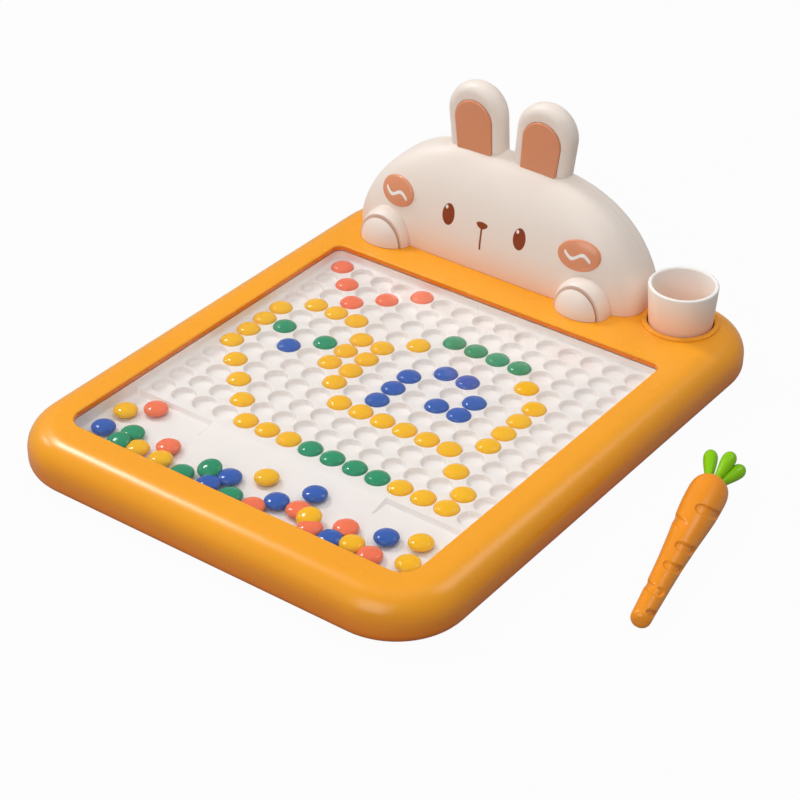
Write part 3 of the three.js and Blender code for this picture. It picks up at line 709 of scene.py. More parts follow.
def tray():
    bm = bmesh.new()
    tray_box(bm)
    pocket_lattice(bm)
    bmesh.ops.triangle_fill(bm, use_beauty=True, edges=open_edges(bm, BOARD))
    outer_corners = [r + TRAY_WALL for r in WINDOW_CORNERS]
    outside = rounded_face(bm, grown(window_sides, TRAY_WALL), TRAY_TOP, outer_corners)
    lift(bm, outside, tray_low.z - TRAY_TOP)
    bmesh.ops.triangle_fill(bm, use_beauty=True, edges=open_edges(bm, TRAY_TOP))
    return tidy(bm)


tray_piece = stand(tray(), "tray", white_plastic, "board", ["bead_tray"])
print("tray:", len(tray_piece.data.polygons), "faces")

# %% [markdown]
# ## The clear sheet
# The sheet is a thin pane just over the tray, with its edge under the frame's lip. It fills the
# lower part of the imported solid, because a thicker pane would mirror twice at a visible distance.


# %% Clear sheet
def window_sheet():
    bm = bmesh.new()
    pane = rounded_face(bm, sheet_sides, sheet_low.z, [r + SHEET_OVERLAP for r in WINDOW_CORNERS])
    lift(bm, pane, SHEET_THICKNESS, keep=True)
    return tidy(bm)


stand(window_sheet(), "window_sheet", clear, "board", ["clear_sheet"])
print("sheet:", SHEET_THICKNESS, "mm thick")

# %% [markdown]
# ## The rabbit's head
# The head is a soft loaf: its plan is a rectangle with very round corners, and both its length and
# its depth shrink towards the crest, slowly at first and fast at the end. A ball has just these
# rings, so a ball is cut in half and each of its points is sent to the same height and angle on
# the loaf. The head is two shells that meet behind the crest, with the screws at the back.

# %% Head form
HEAD_X = (head_low.x + head_high.x) / 2
HEAD_HALF = 98.2
HEAD_HEIGHT = 65
HEAD_FRONT_DEPTH = 29.1
HEAD_BACK_DEPTH = 11.9
HEAD_LEAN = 2.8
HEAD_LENGTH_POWERS = (1.67, 2.77)
HEAD_DEPTH_POWERS = (2.8, 1.8)
HEAD_FRONT_POWER = 4.4
HEAD_BACK_POWER = 7
HEAD_CREST = 0.9996
HEAD_ROUNDS = 144
HEAD_LEVELS = 64
HEAD_WALL = 2.2
HEAD_SPLIT = 31
HEAD_FRONT = head_low.y
HEAD_FLOOR = head_low.z
FACE_X = HEAD_X - 1.6
SEAM = 0.12
SKIN_GAP = 0.1


def head_reach(share, grow=0.0):
    """Half length, swell of the depth, and middle line of the head at a share of its height."""
    length = (HEAD_HALF + grow) * (1 - share ** HEAD_LENGTH_POWERS[0]) ** (1 / HEAD_LENGTH_POWERS[1])
    swell = (1 - share ** HEAD_DEPTH_POWERS[0]) ** (1 / HEAD_DEPTH_POWERS[1])
    middle = HEAD_FRONT + HEAD_FRONT_DEPTH + HEAD_LEAN * share
    return length, swell, middle


def on_head(share, turn, grow=0.0):
    """The point of the head at a share of its height and an angle round it."""
    length, swell, middle = head_reach(share, grow)
    across, along = math.cos(turn), math.sin(turn)
    power = HEAD_BACK_POWER if along > 0 else HEAD_FRONT_POWER
    depth = (grow + (HEAD_BACK_DEPTH if along > 0 else HEAD_FRONT_DEPTH)) * swell
    x = HEAD_X + math.copysign(length * abs(across) ** (2 / power), across)
    y = middle + math.copysign(depth * abs(along) ** (2 / power), along)
    return Vector((x, y, HEAD_FLOOR + (HEAD_HEIGHT + grow) * share))


def head_dome(grow=0.0, closed=True):
    """The head's skin as half a ball bent to the loaf, open or closed at the deck."""
    bm = bmesh.new()
    bmesh.ops.create_uvsphere(bm, u_segments=HEAD_ROUNDS, v_segments=HEAD_LEVELS, radius=1)
    cut(bm, (0, 0, 0), (0, 0, 1), dist=0.001)
    for vert in bm.verts:
        share = HEAD_CREST * max(0.0, min(1.0, vert.co.z))
        if vert.co.z > 0.99999:
            vert.co = (HEAD_X, head_reach(share)[2], HEAD_FLOOR + (HEAD_HEIGHT + grow) * share)
        else:
            vert.co = on_head(share, math.atan2(vert.co.y, vert.co.x), grow)
    return closed_floor(bm) if closed else bm


def head_shell(side):
    """One half of the head: an outer and an inner skin, both cut at the seam and joined round the cut."""
    bm = bmesh.new()
    for grow in (0, -HEAD_WALL):
        join(bm, head_dome(grow, closed=False))
    cut(bm, (0, HEAD_FRONT + HEAD_SPLIT + side * SEAM / 2, 0), (0, side, 0), dist=0.0005)
    bmesh.ops.bridge_loops(bm, edges=[e for e in bm.edges if e.is_boundary])
    bmesh.ops.recalc_face_normals(bm, faces=bm.faces)
    return bm


# %% [markdown]
# ## The face
# Eyes, nose and mouth are printed on the head, so they are colour and not shape. Each print is a
# mask worked out from where a point lies across the face and above the deck: an ellipse for an
# eye, a rounded wedge for the nose and a capsule for the mouth. Low down, the skin takes painted
# light: a warm tint stands in for the orange deck's light shining on the cream plastic.

# %% Face print
EYE_PLACES = [(-50.3, 54.7), (-0.95, 54.7)]
EYE_RADII = (4.25, 6.5)
EYE_EDGE = 0.45
EYE_EDGE_SHARE = 0.7
GLINT_OFFSET = (-1.75, 4.0)
GLINT_RADII = (0.95, 1.14)
NOSE_PLACE = (-26.7, 54.9)
NOSE_RADII = (3.65, 2.1)
NOSE_TAPER = 0.16
MOUTH_TOP = 53.5
MOUTH_BOTTOM = 40.6
MOUTH_WIDTH = 0.62
PRINT_BLUR = 0.16
PRINT_GLOSS = 0.12
FRONT_STEEPNESS = 10
PRINT_BROWN = tint(146, 58, 12)
PRINT_PALE = tint(250, 240, 232)
# Painted light: a warm tint low on the cream, for the orange deck's light.
DECK_BOUNCE_LIGHT = tint(255, 188, 150)
DECK_BOUNCE_LIGHT_HEIGHT = 26
DECK_BOUNCE_LIGHT_SHARE = 0.45


def ellipse_mask(x, z, place, radii, blur=PRINT_BLUR):
    """1 inside an ellipse and 0 outside it, with a soft edge of so many millimetres."""
    across = (x - place[0]) / radii[0]
    up = (z - place[1]) / radii[1]
    reach = (across * across + up * up).power(0.5)
    return ((1 - reach) * (min(radii) / blur) + 0.5).clipped()


def painted_bounce_light(finish, z, share):
    """The finish's colour with painted light from the deck: a warm tint that fades upwards."""
    warm = (1 - (z - HEAD_FLOOR) / DECK_BOUNCE_LIGHT_HEIGHT).clipped()
    return finish.mix(warm * warm * share, finish.colour, DECK_BOUNCE_LIGHT)


def head_skin():
    finish = moulded("head_skin", CREAM, SKIN_ROUGHNESS, deeper=0.98)
    x, y, z = finish.axes()
    # Painted light: a warm tint low down for the orange deck's light.
    skin = painted_bounce_light(finish, z, DECK_BOUNCE_LIGHT_SHARE)
    eyes, edges, glints = [], [], []
    for place in EYE_PLACES:
        eyes.append(ellipse_mask(x, z, place, EYE_RADII))
        edges.append(ellipse_mask(x, z, place, [r + EYE_EDGE for r in EYE_RADII], PRINT_BLUR * 2))
        glint_place = [p + o for p, o in zip(place, GLINT_OFFSET)]
        glints.append(ellipse_mask(x, z, glint_place, GLINT_RADII))
    taper = 1 + (z - NOSE_PLACE[1]) * NOSE_TAPER
    nose = ellipse_mask((x - NOSE_PLACE[0]) / taper, z, (0, NOSE_PLACE[1]), NOSE_RADII)
    beyond = (z - MOUTH_TOP).larger(0) + (MOUTH_BOTTOM - z).larger(0)
    aside = (x - NOSE_PLACE[0]).size()
    mouth = ((MOUTH_WIDTH - (aside * aside + beyond * beyond).power(0.5)) / PRINT_BLUR + 0.5).clipped()
    marks = eyes[0].larger(eyes[1]).larger(nose).larger(mouth)
    front = ((HEAD_FRONT + HEAD_SPLIT / 2 - y) * FRONT_STEEPNESS).clipped()
    skin = finish.mix(edges[0].larger(edges[1]) * front * EYE_EDGE_SHARE, skin, PRINT_PALE)
    skin = finish.mix(marks * front, skin, PRINT_BROWN)
    skin = finish.mix(glints[0].larger(glints[1]) * front, skin, PRINT_PALE)
    return finish.set(base_color=skin, roughness=finish.roughness - PRINT_GLOSS * marks).material


# %% Head shells, with a hole and a boss for each rear screw
SCREW_HEAD_HEIGHT = 1.4
REAR_HOLE = 3.35
REAR_BOSS = 4.9
REAR_FLOOR = 2.5


def rear_bar(radius, low, place):
    """A round bar along Y from a depth to well behind the head, at a screw's place."""
    far = low + HEAD_FRONT_DEPTH
    bar = spun([(0, low), (radius, low), (radius, far), (0, far)], 40)
    return moved(turned(bar, -math.pi / 2, "X"), (place.x, 0, place.z))


face_skin = head_skin()
front_piece = stand(head_shell(-1), "head_front_shell", face_skin, "board", ["head_front"])
back_shell = head_shell(1)
for number in (1, 2):
    low, high = span(f"rear_screw_{number}")
    place = (low + high) / 2
    seat = high.y - SCREW_HEAD_HEIGHT - SEAT_GAP
    boss = carve(rear_bar(REAR_BOSS, seat - REAR_FLOOR, place), head_dome(-SKIN_GAP), "INTERSECT")
    boss = carve(boss, rear_bar(REAR_HOLE, seat, place))
    stand(boss, f"rear_boss_{number}", cream_plastic, "board")
    back_shell = carve(back_shell, rear_bar(REAR_HOLE, seat, place))
stand(back_shell, "head_back_shell", face_skin, "board", ["head_back"])
print("head:", len(front_piece.data.polygons), "faces in its front shell")

# %% [markdown]
# ## Ears and their panels
# An ear is a thick arch with edges so round that hardly any flat is left, and a raised pad of
# salmon plastic lies in its front. Both are flat arches rounded by insets on two sides, stood up,
# tilted out by five degrees, and trimmed to the crown of the head that they stand on. The arches
# sit a little to the left of their pads, as in the picture.

# %% Ears
EAR_SPACING = 50.6
EAR_WIDTHS = (37.8, 35.6)
EAR_TOP = 102.7
EAR_ROOT = 46
EAR_THICKNESS = 14
EAR_ROUND = (5.6, 6.2)
EAR_LEAN = math.radians(5)
EAR_FRONT = HEAD_FRONT + 24
EAR_SHIFT = -0.6
PANEL_WIDTHS = (25.4, 23.6)
PANEL_TOP = 93.6
PANEL_BOTTOM = 57
PANEL_THICKNESS = 2.6
PANEL_PROUD = 1.2
PANEL_ROUND = (1.5, 1.125)
PANEL_GAP = 0.25


def arch(widths, low, top, thickness, rounding, steps):
    """An arch standing on the XZ plane, its back on y = 0, with both faces rounded over."""
    bm = bmesh.new()
    width, base_width = widths
    half = width / 2
    nearly_half = half - 0.005
    rounded_face(bm, (-half, half, low, top), 0, (0, 0, nearly_half, nearly_half), 20)
    bmesh.ops.remove_doubles(bm, verts=bm.verts, dist=0.05)
    face = bm.faces[:][0]
    for vert in face.verts:
        drop = max(0.0, (top - half - vert.co.y) / (top - half - low))
        vert.co.x *= 1 - (1 - base_width / width) * drop
    back = lift(bm, face, thickness - 2 * rounding[1], keep=True)
    facing(face, up=False)
    for side in (face, back):
        step_in(bm, side, quarter_over(*rounding, steps))
    moved(bm, (0, 0, rounding[1]))
    return turned(tidy(bm, 0.02), math.pi / 2, "X")


def on_crown(bm, side, back_y, shift=0.0):
    """Leans an arch out and puts it on the head with its back at back_y."""
    x = FACE_X + shift + side * (EAR_SPACING / 2 - EAR_TOP * math.sin(EAR_LEAN))
    return moved(turned(bm, side * EAR_LEAN, "Y"), (x, back_y, HEAD_FLOOR))


def panel(side, gap):
    widths = [width + 2 * gap for width in PANEL_WIDTHS]
    bm = arch(widths, PANEL_BOTTOM - gap, PANEL_TOP + gap, PANEL_THICKNESS + gap, PANEL_ROUND, 5)
    return on_crown(bm, side, EAR_FRONT - PANEL_PROUD + PANEL_THICKNESS + gap)


for word, side in (("left", -1), ("right", 1)):
    ear = arch(EAR_WIDTHS, EAR_ROOT, EAR_TOP, EAR_THICKNESS, EAR_ROUND, 10)
    ear = carve(on_crown(ear, side, EAR_FRONT + EAR_THICKNESS, EAR_SHIFT), head_dome(SKIN_GAP))
    ear = carve(ear, panel(side, PANEL_GAP))
    ear_piece = stand(ear, f"ear_{word}_arch", cream_plastic, "board", [f"ear_{word}"])
    pad = carve(panel(side, 0), head_dome(SKIN_GAP))
    stand(pad, f"ear_{word}_pad", panel_plastic, "board", [f"ear_panel_{word}"])
    print("ear", word, len(ear_piece.data.polygons), "faces")

# %% [markdown]
# ## Cheeks
# A cheek is a thin oval pad that follows the curve of the face, with a soft edge and a white
# squiggle printed on it. A ball gives the right closed skin: its front half becomes the pad's
# pillow, its back half the underside on the face. Only the direction off the face has to be found,
# from three points of the head close together.

# %% Cheeks
CHEEK_SPACING = 126
CHEEK_HALVES = {"left": 12.2, "right": 13.0}
CHEEK_RISE = 8.7
CHEEK_SHIFT = 0.6
CHEEK_LIFT = 30.4
CHEEK_THICKNESS = 1.8
CHEEK_FULLNESS = 0.5
CHEEK_GAP = 0.05
SQUIGGLE_LENGTH = 13.5
SQUIGGLE_HALF = 7.5
SQUIGGLE_WIDTH = 0.85
SQUIGGLE_BLUR = 0.35
SQUIGGLE_STEEPNESS = 0.82
SQUIGGLE_WHITE = tint(252, 248, 244)
SQUIGGLES = {"left": (1.6, -0.35, -0.07), "right": (1.7, 0.05, -0.05)}


def face_point(x, z):
    """The point on the front of the head at a place across it and a height."""
    share = max(0.0, min(HEAD_CREST, (z - HEAD_FLOOR) / HEAD_HEIGHT))
    length, swell, middle = head_reach(share)
    across = min(1.0, abs(x - HEAD_X) / length)
    depth = HEAD_FRONT_DEPTH * swell * (1 - across ** HEAD_FRONT_POWER) ** (1 / HEAD_FRONT_POWER)
    return Vector((x, middle - depth, z))


def off_face(x, z, step=0.5):
    """A point of the face and the direction straight off it."""
    here = face_point(x, z)
    normal = (face_point(x + step, z) - here).cross(face_point(x, z + step) - here)
    return here, normal.normalized()


def cheek(centre, half):
    bm = bmesh.new()
    bmesh.ops.create_uvsphere(bm, u_segments=56, v_segments=24, radius=1)
    for vert in bm.verts:
        x = centre + half * vert.co.x
        z = HEAD_FLOOR + CHEEK_LIFT + CHEEK_RISE * vert.co.y
        here, outwards = off_face(x, z)
        vert.co = here + outwards * (CHEEK_THICKNESS * max(0.0, vert.co.z) ** CHEEK_FULLNESS + CHEEK_GAP)
    bmesh.ops.recalc_face_normals(bm, faces=bm.faces)
    return bm


def cheek_finish(name, centre, rise, shift, slope):
    """Salmon plastic with a white wave of a rise, shifted up and tilted a little."""
    finish = moulded(name, PEACH, 0.23, uneven=0.06, deeper=0.97)
    x, y, z = finish.axes()
    across = x - centre
    wave = rise * (across * (2 * math.pi / SQUIGGLE_LENGTH)).sine() + slope * across + shift
    beyond = (across.size() - SQUIGGLE_HALF).larger(0)
    aside = (z - HEAD_FLOOR - CHEEK_LIFT - wave) * SQUIGGLE_STEEPNESS
    reach = (aside * aside + beyond * beyond).power(0.5)
    line = ((SQUIGGLE_WIDTH - reach) / SQUIGGLE_BLUR + 0.5).clipped()
    return finish.set(base_color=finish.mix(line, finish.colour, SQUIGGLE_WHITE)).material


for word, side in (("left", -1), ("right", 1)):
    centre = FACE_X + CHEEK_SHIFT + side * CHEEK_SPACING / 2
    finish = cheek_finish(f"cheek_{word}_print", centre, *SQUIGGLES[word])
    pad = cheek(centre, CHEEK_HALVES[word])
    stand(pad, f"cheek_{word}_pad", finish, "board", [f"cheek_{word}"], math.pi)
print("cheeks stand", CHEEK_THICKNESS, "mm proud")

# %% [markdown]
# ## Paws
# Two paws hold the edge of the head: a round dome with a second, smaller dome in front of it. The
# groove between them is what makes it a paw. Such a form is turned about a line that points at the
# viewer, so half a profile is spun, squeezed a little in width, cut at the deck and trimmed to the
# head behind it. The groove gets painted shade, a warmer, darker cream, and the skin low down gets
# the deck's painted light, as on the head.

# %% Paws
PAW_SPACING = 137.2
PAW_WIDTH = 34
PAW_HEIGHT = 19.4
PAW_REACH = 12.5
PAW_ROOT = 8
PAW_GROOVE = 5.8
PAW_GROOVE_WIDTH = 1.1
PAW_GROOVE_DEPTH = 2.0
PAW_STEP = 0.7
PAW_EDGE = 0.3
PAW_SINK = 0.4
# Painted shade in the paw's groove, and the deck's painted light low down.
GROOVE_PAINTED_SHADE = tint(214, 168, 140)
GROOVE_PAINTED_SHADE_REACH = 1.5
PAW_BOUNCE_LIGHT_SHARE = 0.22


def paw_radius(y):
    """The dome's radius at a distance behind its tip."""
    return PAW_HEIGHT * math.sqrt(max(0.0, 1 - ((PAW_REACH - y) / PAW_REACH) ** 2))


def paw_profile():
    """The small dome, the groove with softened edges, the large dome and a straight root."""
    profile = []
    for k in range(13):
        y = PAW_GROOVE * (k / 12) ** 2
        profile.append((max(0.0, paw_radius(y) - PAW_STEP * k / 12), y))
    edge = profile[-1][0]
    behind = PAW_GROOVE + PAW_GROOVE_WIDTH
    profile += [
        (edge - 0.35, PAW_GROOVE + PAW_EDGE),
        (edge - PAW_GROOVE_DEPTH, PAW_GROOVE + 0.45),
        (edge - PAW_GROOVE_DEPTH, behind - 0.1),
        (paw_radius(behind) - 0.5, behind),
        (paw_radius(behind + PAW_EDGE) - 0.12, behind + 0.12),
    ]
    behind += PAW_EDGE
    dome = [behind + (PAW_REACH - behind) * k / 8 for k in range(1, 9)]
    profile += [(paw_radius(y), y) for y in dome]
    return profile + [(PAW_HEIGHT, PAW_REACH + PAW_ROOT), (0, PAW_REACH + PAW_ROOT)]


def paw(side):
    bm = turned(spun(paw_profile(), 72), -math.pi / 2, "X")
    bmesh.ops.scale(bm, vec=(PAW_WIDTH / 2 / PAW_HEIGHT, 1, 1), verts=bm.verts)
    cut(bm, (0, 0, 0), (0, 0, 1), dist=0.001)
    place = (HEAD_X + side * PAW_SPACING / 2, HEAD_FRONT - PAW_REACH, HEAD_FLOOR)
    return carve(moved(closed_floor(bm), place), moved(head_dome(SKIN_GAP), (0, 0, -PAW_SINK)))


def paw_skin():
    finish = moulded("paw_skin", CREAM, SKIN_ROUGHNESS, deeper=0.98)
    x, y, z = finish.axes()
    half = PAW_GROOVE_WIDTH / 2
    middle = HEAD_FRONT - PAW_REACH + PAW_GROOVE + half
    # Painted shade: the groove's cream turns warmer and darker.
    groove = (GROOVE_PAINTED_SHADE_REACH - (y - middle).size() / half).clipped()
    # Painted light: a warm tint low down for the deck's light.
    skin = painted_bounce_light(finish, z, PAW_BOUNCE_LIGHT_SHARE)
    return finish.set(base_color=finish.mix(groove, skin, GROOVE_PAINTED_SHADE)).material


paw_finish = paw_skin()
for word, side in (("left", -1), ("right", 1)):
    stand(paw(side), f"paw_{word}_dome", paw_finish, "board", [f"paw_{word}"])
print("paws reach", PAW_REACH, "mm in front of the head")

# %% [markdown]
# ## The cup
# The cup is a plain tapered tumbler with an even wall and a rounded rim. It is turned from one
# profile that runs up the outside, over the rim and down the inside. Low down it takes painted
# light, a warm tint for the deck's light, stronger outside, where the deck shines on it, than inside.

# %% Cup
CUP_WALL = 2.4
CUP_BASE = 2.2
FOOT_ROUND = (1.6, 1.6)
RIM_ROUND = (CUP_WALL / 2, CUP_WALL / 2)
CUP_RINGS = 7
CUP_CREAM = tint(253, 248, 242)
# Painted light: a warm tint low on the cup for the deck's light, less of it inside.
CUP_BOUNCE_LIGHT = tint(255, 204, 172)
CUP_BOUNCE_LIGHT_SHARE = 0.85
CUP_INNER_BOUNCE_LIGHT_SHARE = 0.55


def cup_side(inset, start, end):
    """Rings up or down the tapered wall, at a distance inside its outer face."""
    heights = [start + (end - start) * k / CUP_RINGS for k in range(1, CUP_RINGS + 1)]
    return [(CUP_FOOT - inset + CUP_TAPER * (z - cup_low.z), z) for z in heights]


def cup():
    foot = FOOT_ROUND[0]
    low, rim, inner = cup_low.z, cup_high.z - RIM_ROUND[1], cup_low.z + CUP_BASE
    profile = [(0, low)] + arc((CUP_FOOT - foot, low + foot), FOOT_ROUND, -90, 0, 4)
    profile += cup_side(0, low + foot, rim)
    profile += arc((CUP_RADIUS - RIM_ROUND[0], rim), RIM_ROUND, 0, 180, 8)[1:]
    profile += cup_side(CUP_WALL, rim, inner + foot)
    profile += arc((CUP_FOOT - CUP_WALL - foot, inner + foot), FOOT_ROUND, 0, -90, 4)[1:]
    return spun(profile + [(0, inner)], 80, (CUP_X, CUP_Y, 0))


def cup_skin():
    finish = moulded("cup_skin", CUP_CREAM, 0.425, deeper=0.98)
    x, y, z = finish.axes()
    # Painted light: a warm tint low down for the deck's light, weaker inside the cup.
    warm = (1 - (z - HEAD_FLOOR) / (cup_high.z - HEAD_FLOOR)).clipped()
    wall = CUP_FOOT - CUP_WALL / 2 + (z - cup_low.z) * CUP_TAPER
    across, along = x - CUP_X, y - CUP_Y
    inside = (wall * wall - (across * across + along * along)).clipped()
    share = warm * (CUP_BOUNCE_LIGHT_SHARE - inside * (CUP_BOUNCE_LIGHT_SHARE - CUP_INNER_BOUNCE_LIGHT_SHARE))
    return finish.set(base_color=finish.mix(share, finish.colour, CUP_BOUNCE_LIGHT)).material


stand(cup(), "cup_tumbler", cup_skin(), "cup", ["cup"])
print("cup:", round(2 * CUP_RADIUS, 1), "mm across")

# %% [markdown]
# ## Beads
# A bead is a lens like a coated sweet: a flattened ball with a slightly fuller edge. One form is
# turned and copied to each place, because an object here keeps its place in its mesh. The packed
# model holds the first four rows and six loose beads; the others ride on the board.

# %% Beads
BEAD_RADIUS = 6.7
BEAD_HALF = 2.8
BEAD_FULLNESS = 0.95
BEAD_ROUNDS = 32
BEAD_LEVELS = 12
PICTURE = [
    "....YYYGGGGYYY.",
    "...Y.........Y.",
    "..Y.........Y..",
    ".Y....YYYYYY...",
    "Y....Y.B....Y..",
    "Y.B.YY.B.BB.Y..",
    "YG.GYY.B..B.Y..",
    "Y...YY..BB..Y..",
    ".YYY..Y....Y...",
    "..C....GGGG....",
    ".C.C...........",
    "C...C..........",
]
PACKED_ROWS = 4
BEAD_GAP = 0.1
BEAD_IN_POCKET = BOARD - POCKET_DEPTH + BEAD_GAP + BEAD_HALF
BEAD_IN_TROUGH = TROUGH + BEAD_GAP + BEAD_HALF


def bead():
    profile = []
    for k in range(BEAD_LEVELS + 1):
        turn = (k / BEAD_LEVELS - 0.5) * math.pi
        radius = BEAD_RADIUS * abs(math.cos(turn)) ** BEAD_FULLNESS if 0 < k < BEAD_LEVELS else 0.0
        profile.append((radius, math.copysign(BEAD_HALF * abs(math.sin(turn)) ** BEAD_FULLNESS, turn)))
    return spun(profile, BEAD_ROUNDS)


one_bead = kept(bead(), "bead")


def put_bead(node, letter, place, packed, lean=0.0):
    """A copy of the bead: a packed one rides on its own body, the others on the board."""
    bm = bmesh.new()
    bm.from_mesh(one_bead)
    moved(turned(bm, lean, "X"), place)
    body, replaced = (f"{node}_body", [node]) if packed else ("board", [])
    stand(bm, f"{node}_lens", bead_plastics[letter], body, replaced, math.pi)


for row, line in enumerate(PICTURE):
    for column, letter in enumerate(line):
        if letter != ".":
            place = (FIRST_COLUMN + column * PITCH, FIRST_ROW + row * PITCH, BEAD_IN_POCKET)
            put_bead(f"bead_r{row}_c{column}", letter, place, row < PACKED_ROWS)
print("beads in pockets:", sum(letter != "." for line in PICTURE for letter in line))

# %% Loose beads
LOOSE_PACKED = "YCBGCY"
LOOSE_BEADS = [
    ("Y", -72.3, -130.7), ("Y", -56.1, -130.8), ("Y", 66.9, -128.9), ("Y", 93.6, -107.8),
    ("Y", 98.4, -125.2), ("C", 7.9, -134.0), ("C", 28.4, -122.6), ("C", 42.4, -131.2),
    ("C", 56.7, -120.3), ("C", 79.5, -131.1), ("B", -17.3, -121.7), ("B", -22.3, -132.8),
    ("B", 15.1, -123.5), ("B", 26.8, -107.1), ("B", 55.6, -132.1), ("B", 77.4, -114.5),
    ("G", -39.3, -133.6), ("G", -6.6, -134.0),
]
LEANING_BEADS = [("Y", 37.8, -126.0), ("G", -82.6, -133.9), ("G", -28.7, -123.8)]
LEAN_HEIGHT = 1.5
LEAN_TURN = math.radians(14)

for number, letter in enumerate(LOOSE_PACKED, 1):
    low, high = span(f"loose_bead_{number}")
    place = ((low.x + high.x) / 2, (low.y + high.y) / 2, BEAD_IN_TROUGH)
    put_bead(f"loose_bead_{number}", letter, place, True)
for number, (letter, x, y) in enumerate(LOOSE_BEADS + LEANING_BEADS, len(LOOSE_PACKED) + 1):
    leans = number > len(LOOSE_PACKED) + len(LOOSE_BEADS)
    place = (x, y, BEAD_IN_TROUGH + LEAN_HEIGHT * leans)
    put_bead(f"loose_bead_{number}", letter, place, False, LEAN_TURN * leans)
print("loose beads:", number)

# %% [markdown]
# ## The pen
# The pen is a carrot: a long cone with a domed tip at the magnet's end, a full shoulder and four
# leaves that lean and reach each in its own way. Short bowed grooves run across it as on a real
# carrot, with a steep edge towards the leaves and a gentle one towards the tip. The body is turned
# with many rings and each point inside a groove is drawn in by its depth, so that a groove wraps
# round the body whatever its width there. The pen is modelled upright and laid down at the end.

# %% Pen
PEN_LENGTH = 115.3
PEN_TIP_RADIUS = 5.2
PEN_SHOULDER_RADIUS = 10.4
PEN_TIP = Vector((204.8, -83.9, 0))
PEN_TURN = math.radians(12.3)
PEN_SIDE_SHARES = [
    (0.0, 1.0), (0.1, 1.05), (0.2, 1.12), (0.3, 1.2), (0.42, 1.32), (0.5, 1.44),
    (0.6, 1.6), (0.7, 1.8), (0.79, 1.95), (0.86, 2.0),
]
PEN_ROOF_SHARES = [(0.93, 1.0), (0.97, 0.93), (0.99, 0.8), (1.0, 0.62)]
TIP_CAP_INSET = 1.1
TIP_ROUND = (4.8, 3.6)
GROOVE_DEPTH = 1.15
GROOVE_EDGE = 0.6
GROOVE_RAMP = 2.2
GROOVE_BOW = 1.2
GROOVE_TILT = 0.3
PEN_ROUNDS = 180
PEN_RINGS = 300
GROOVES = [
    (0.03, 1.1, 5.6, 7.7), (0.15, -0.29, 7.1, 17.2), (0.318, 0.76, 6.6, 13.0),
    (0.456, 0.865, 6.9, 13.6), (0.608, -0.8, 7.7, 16.0), (0.715, 0.95, 8.0, 17.7),
]
LEAVES = [(0, 21, 24.0), (60, 11, 23.0), (180, 14.5, 30.0), (300, 13, 24.5)]
LEAF_RADIUS = 3.9
LEAF_NECK = 1.9
LEAF_RING = 1.8


def pen_outline():
    """Radius and height of the body's side, from the tip to the shoulder."""
    side = [(PEN_TIP_RADIUS * radius, PEN_LENGTH * along) for along, radius in PEN_SIDE_SHARES]
    roof = [(PEN_SHOULDER_RADIUS * radius, PEN_LENGTH * along) for along, radius in PEN_ROOF_SHARES]
    return side + roof


def smooth_curve(points, along):
    """A smooth curve through points, at a share of the way from the first to the last."""
    place = along * (len(points) - 1)
    k = min(int(place), len(points) - 2)
    t = place - k
    before, start, end, after = (Vector(points[max(0, min(len(points) - 1, k + i))]) for i in (-1, 0, 1, 2))
    return (
        start + (end - before) * (t / 2)
        + (before * 2 - start * 5 + end * 4 - after) * (t * t / 2)
        + (start * 3 - before - end * 3 + after) * (t ** 3 / 2)
    )


def groove_share(radius, turn, height):
    """How deep in a groove a point lies, from 0 to 1."""
    deepest = 0.0
    for along, middle, width, length in GROOVES:
        away = (turn - middle + math.pi) % (2 * math.pi) - math.pi
        across = max(0.0, abs(away) * radius - (length - width) / 2)
        bow = GROOVE_BOW * radius * (math.cos(middle - GROOVE_TILT) - math.cos(turn - GROOVE_TILT))
        up = height - along * PEN_LENGTH - width / 2 - bow
        inside = width / 2 - math.hypot(across, up)
        slope = min(1.0, max(0.0, -2 * up / width))
        edge = GROOVE_EDGE + (GROOVE_RAMP - GROOVE_EDGE) * slope
        deepest = max(deepest, min(1.0, max(0.0, inside / edge)))
    return deepest * deepest * (3 - 2 * deepest)


def pen_body():
    width, dome = TIP_ROUND
    profile = [(0, 0)] + arc((PEN_TIP_RADIUS - width, dome), TIP_ROUND, -90, 0, 8)
    rings = [tuple(smooth_curve(pen_outline(), k / PEN_RINGS)) for k in range(1, PEN_RINGS + 1)]
    profile += [ring for ring in rings if ring[1] > dome * 1.1]
    bm = spun(profile + [(0, PEN_LENGTH)], PEN_ROUNDS)
    for vert in bm.verts:
        radius = math.hypot(vert.co.x, vert.co.y)
        if radius > LEAF_RADIUS and vert.co.z > dome:
            turn = math.atan2(vert.co.x, -vert.co.y)
            drawn = 1 - GROOVE_DEPTH * groove_share(radius, turn, vert.co.z) / radius
            vert.co.x *= drawn
            vert.co.y *= drawn
    return bm


def leaf(length):
    """A club: a thin neck that swells to a round end."""
    neck = LEAF_NECK / LEAF_RADIUS
    club = [(neck, -0.12), (neck, 0.0), (neck * 1.04, 0.2), (0.74, 0.45), (0.94, 0.66), (1.0, 0.8)]
    outline = [(LEAF_RADIUS * radius, length * along) for radius, along in club]
    profile = [(0.0, outline[0][1])] + [tuple(smooth_curve(outline, k / 20)) for k in range(21)]
    cap_low = profile[-1][1]
    profile += arc((0, cap_low), (LEAF_RADIUS, length - cap_low), 0, 90, 7)[1:]
    return spun(profile, 28)


def pen_leaves():
    """Four clubs that splay from the middle of the shoulder: way round it, lean and length."""
    bm = bmesh.new()
    for turn, splay, length in LEAVES:
        club = moved(turned(leaf(length), math.radians(splay), "Y"), (LEAF_RING, 0, PEN_LENGTH - LEAF_RING))
        join(bm, turned(club, math.radians(turn), "Z"))
    return tidy(bm)


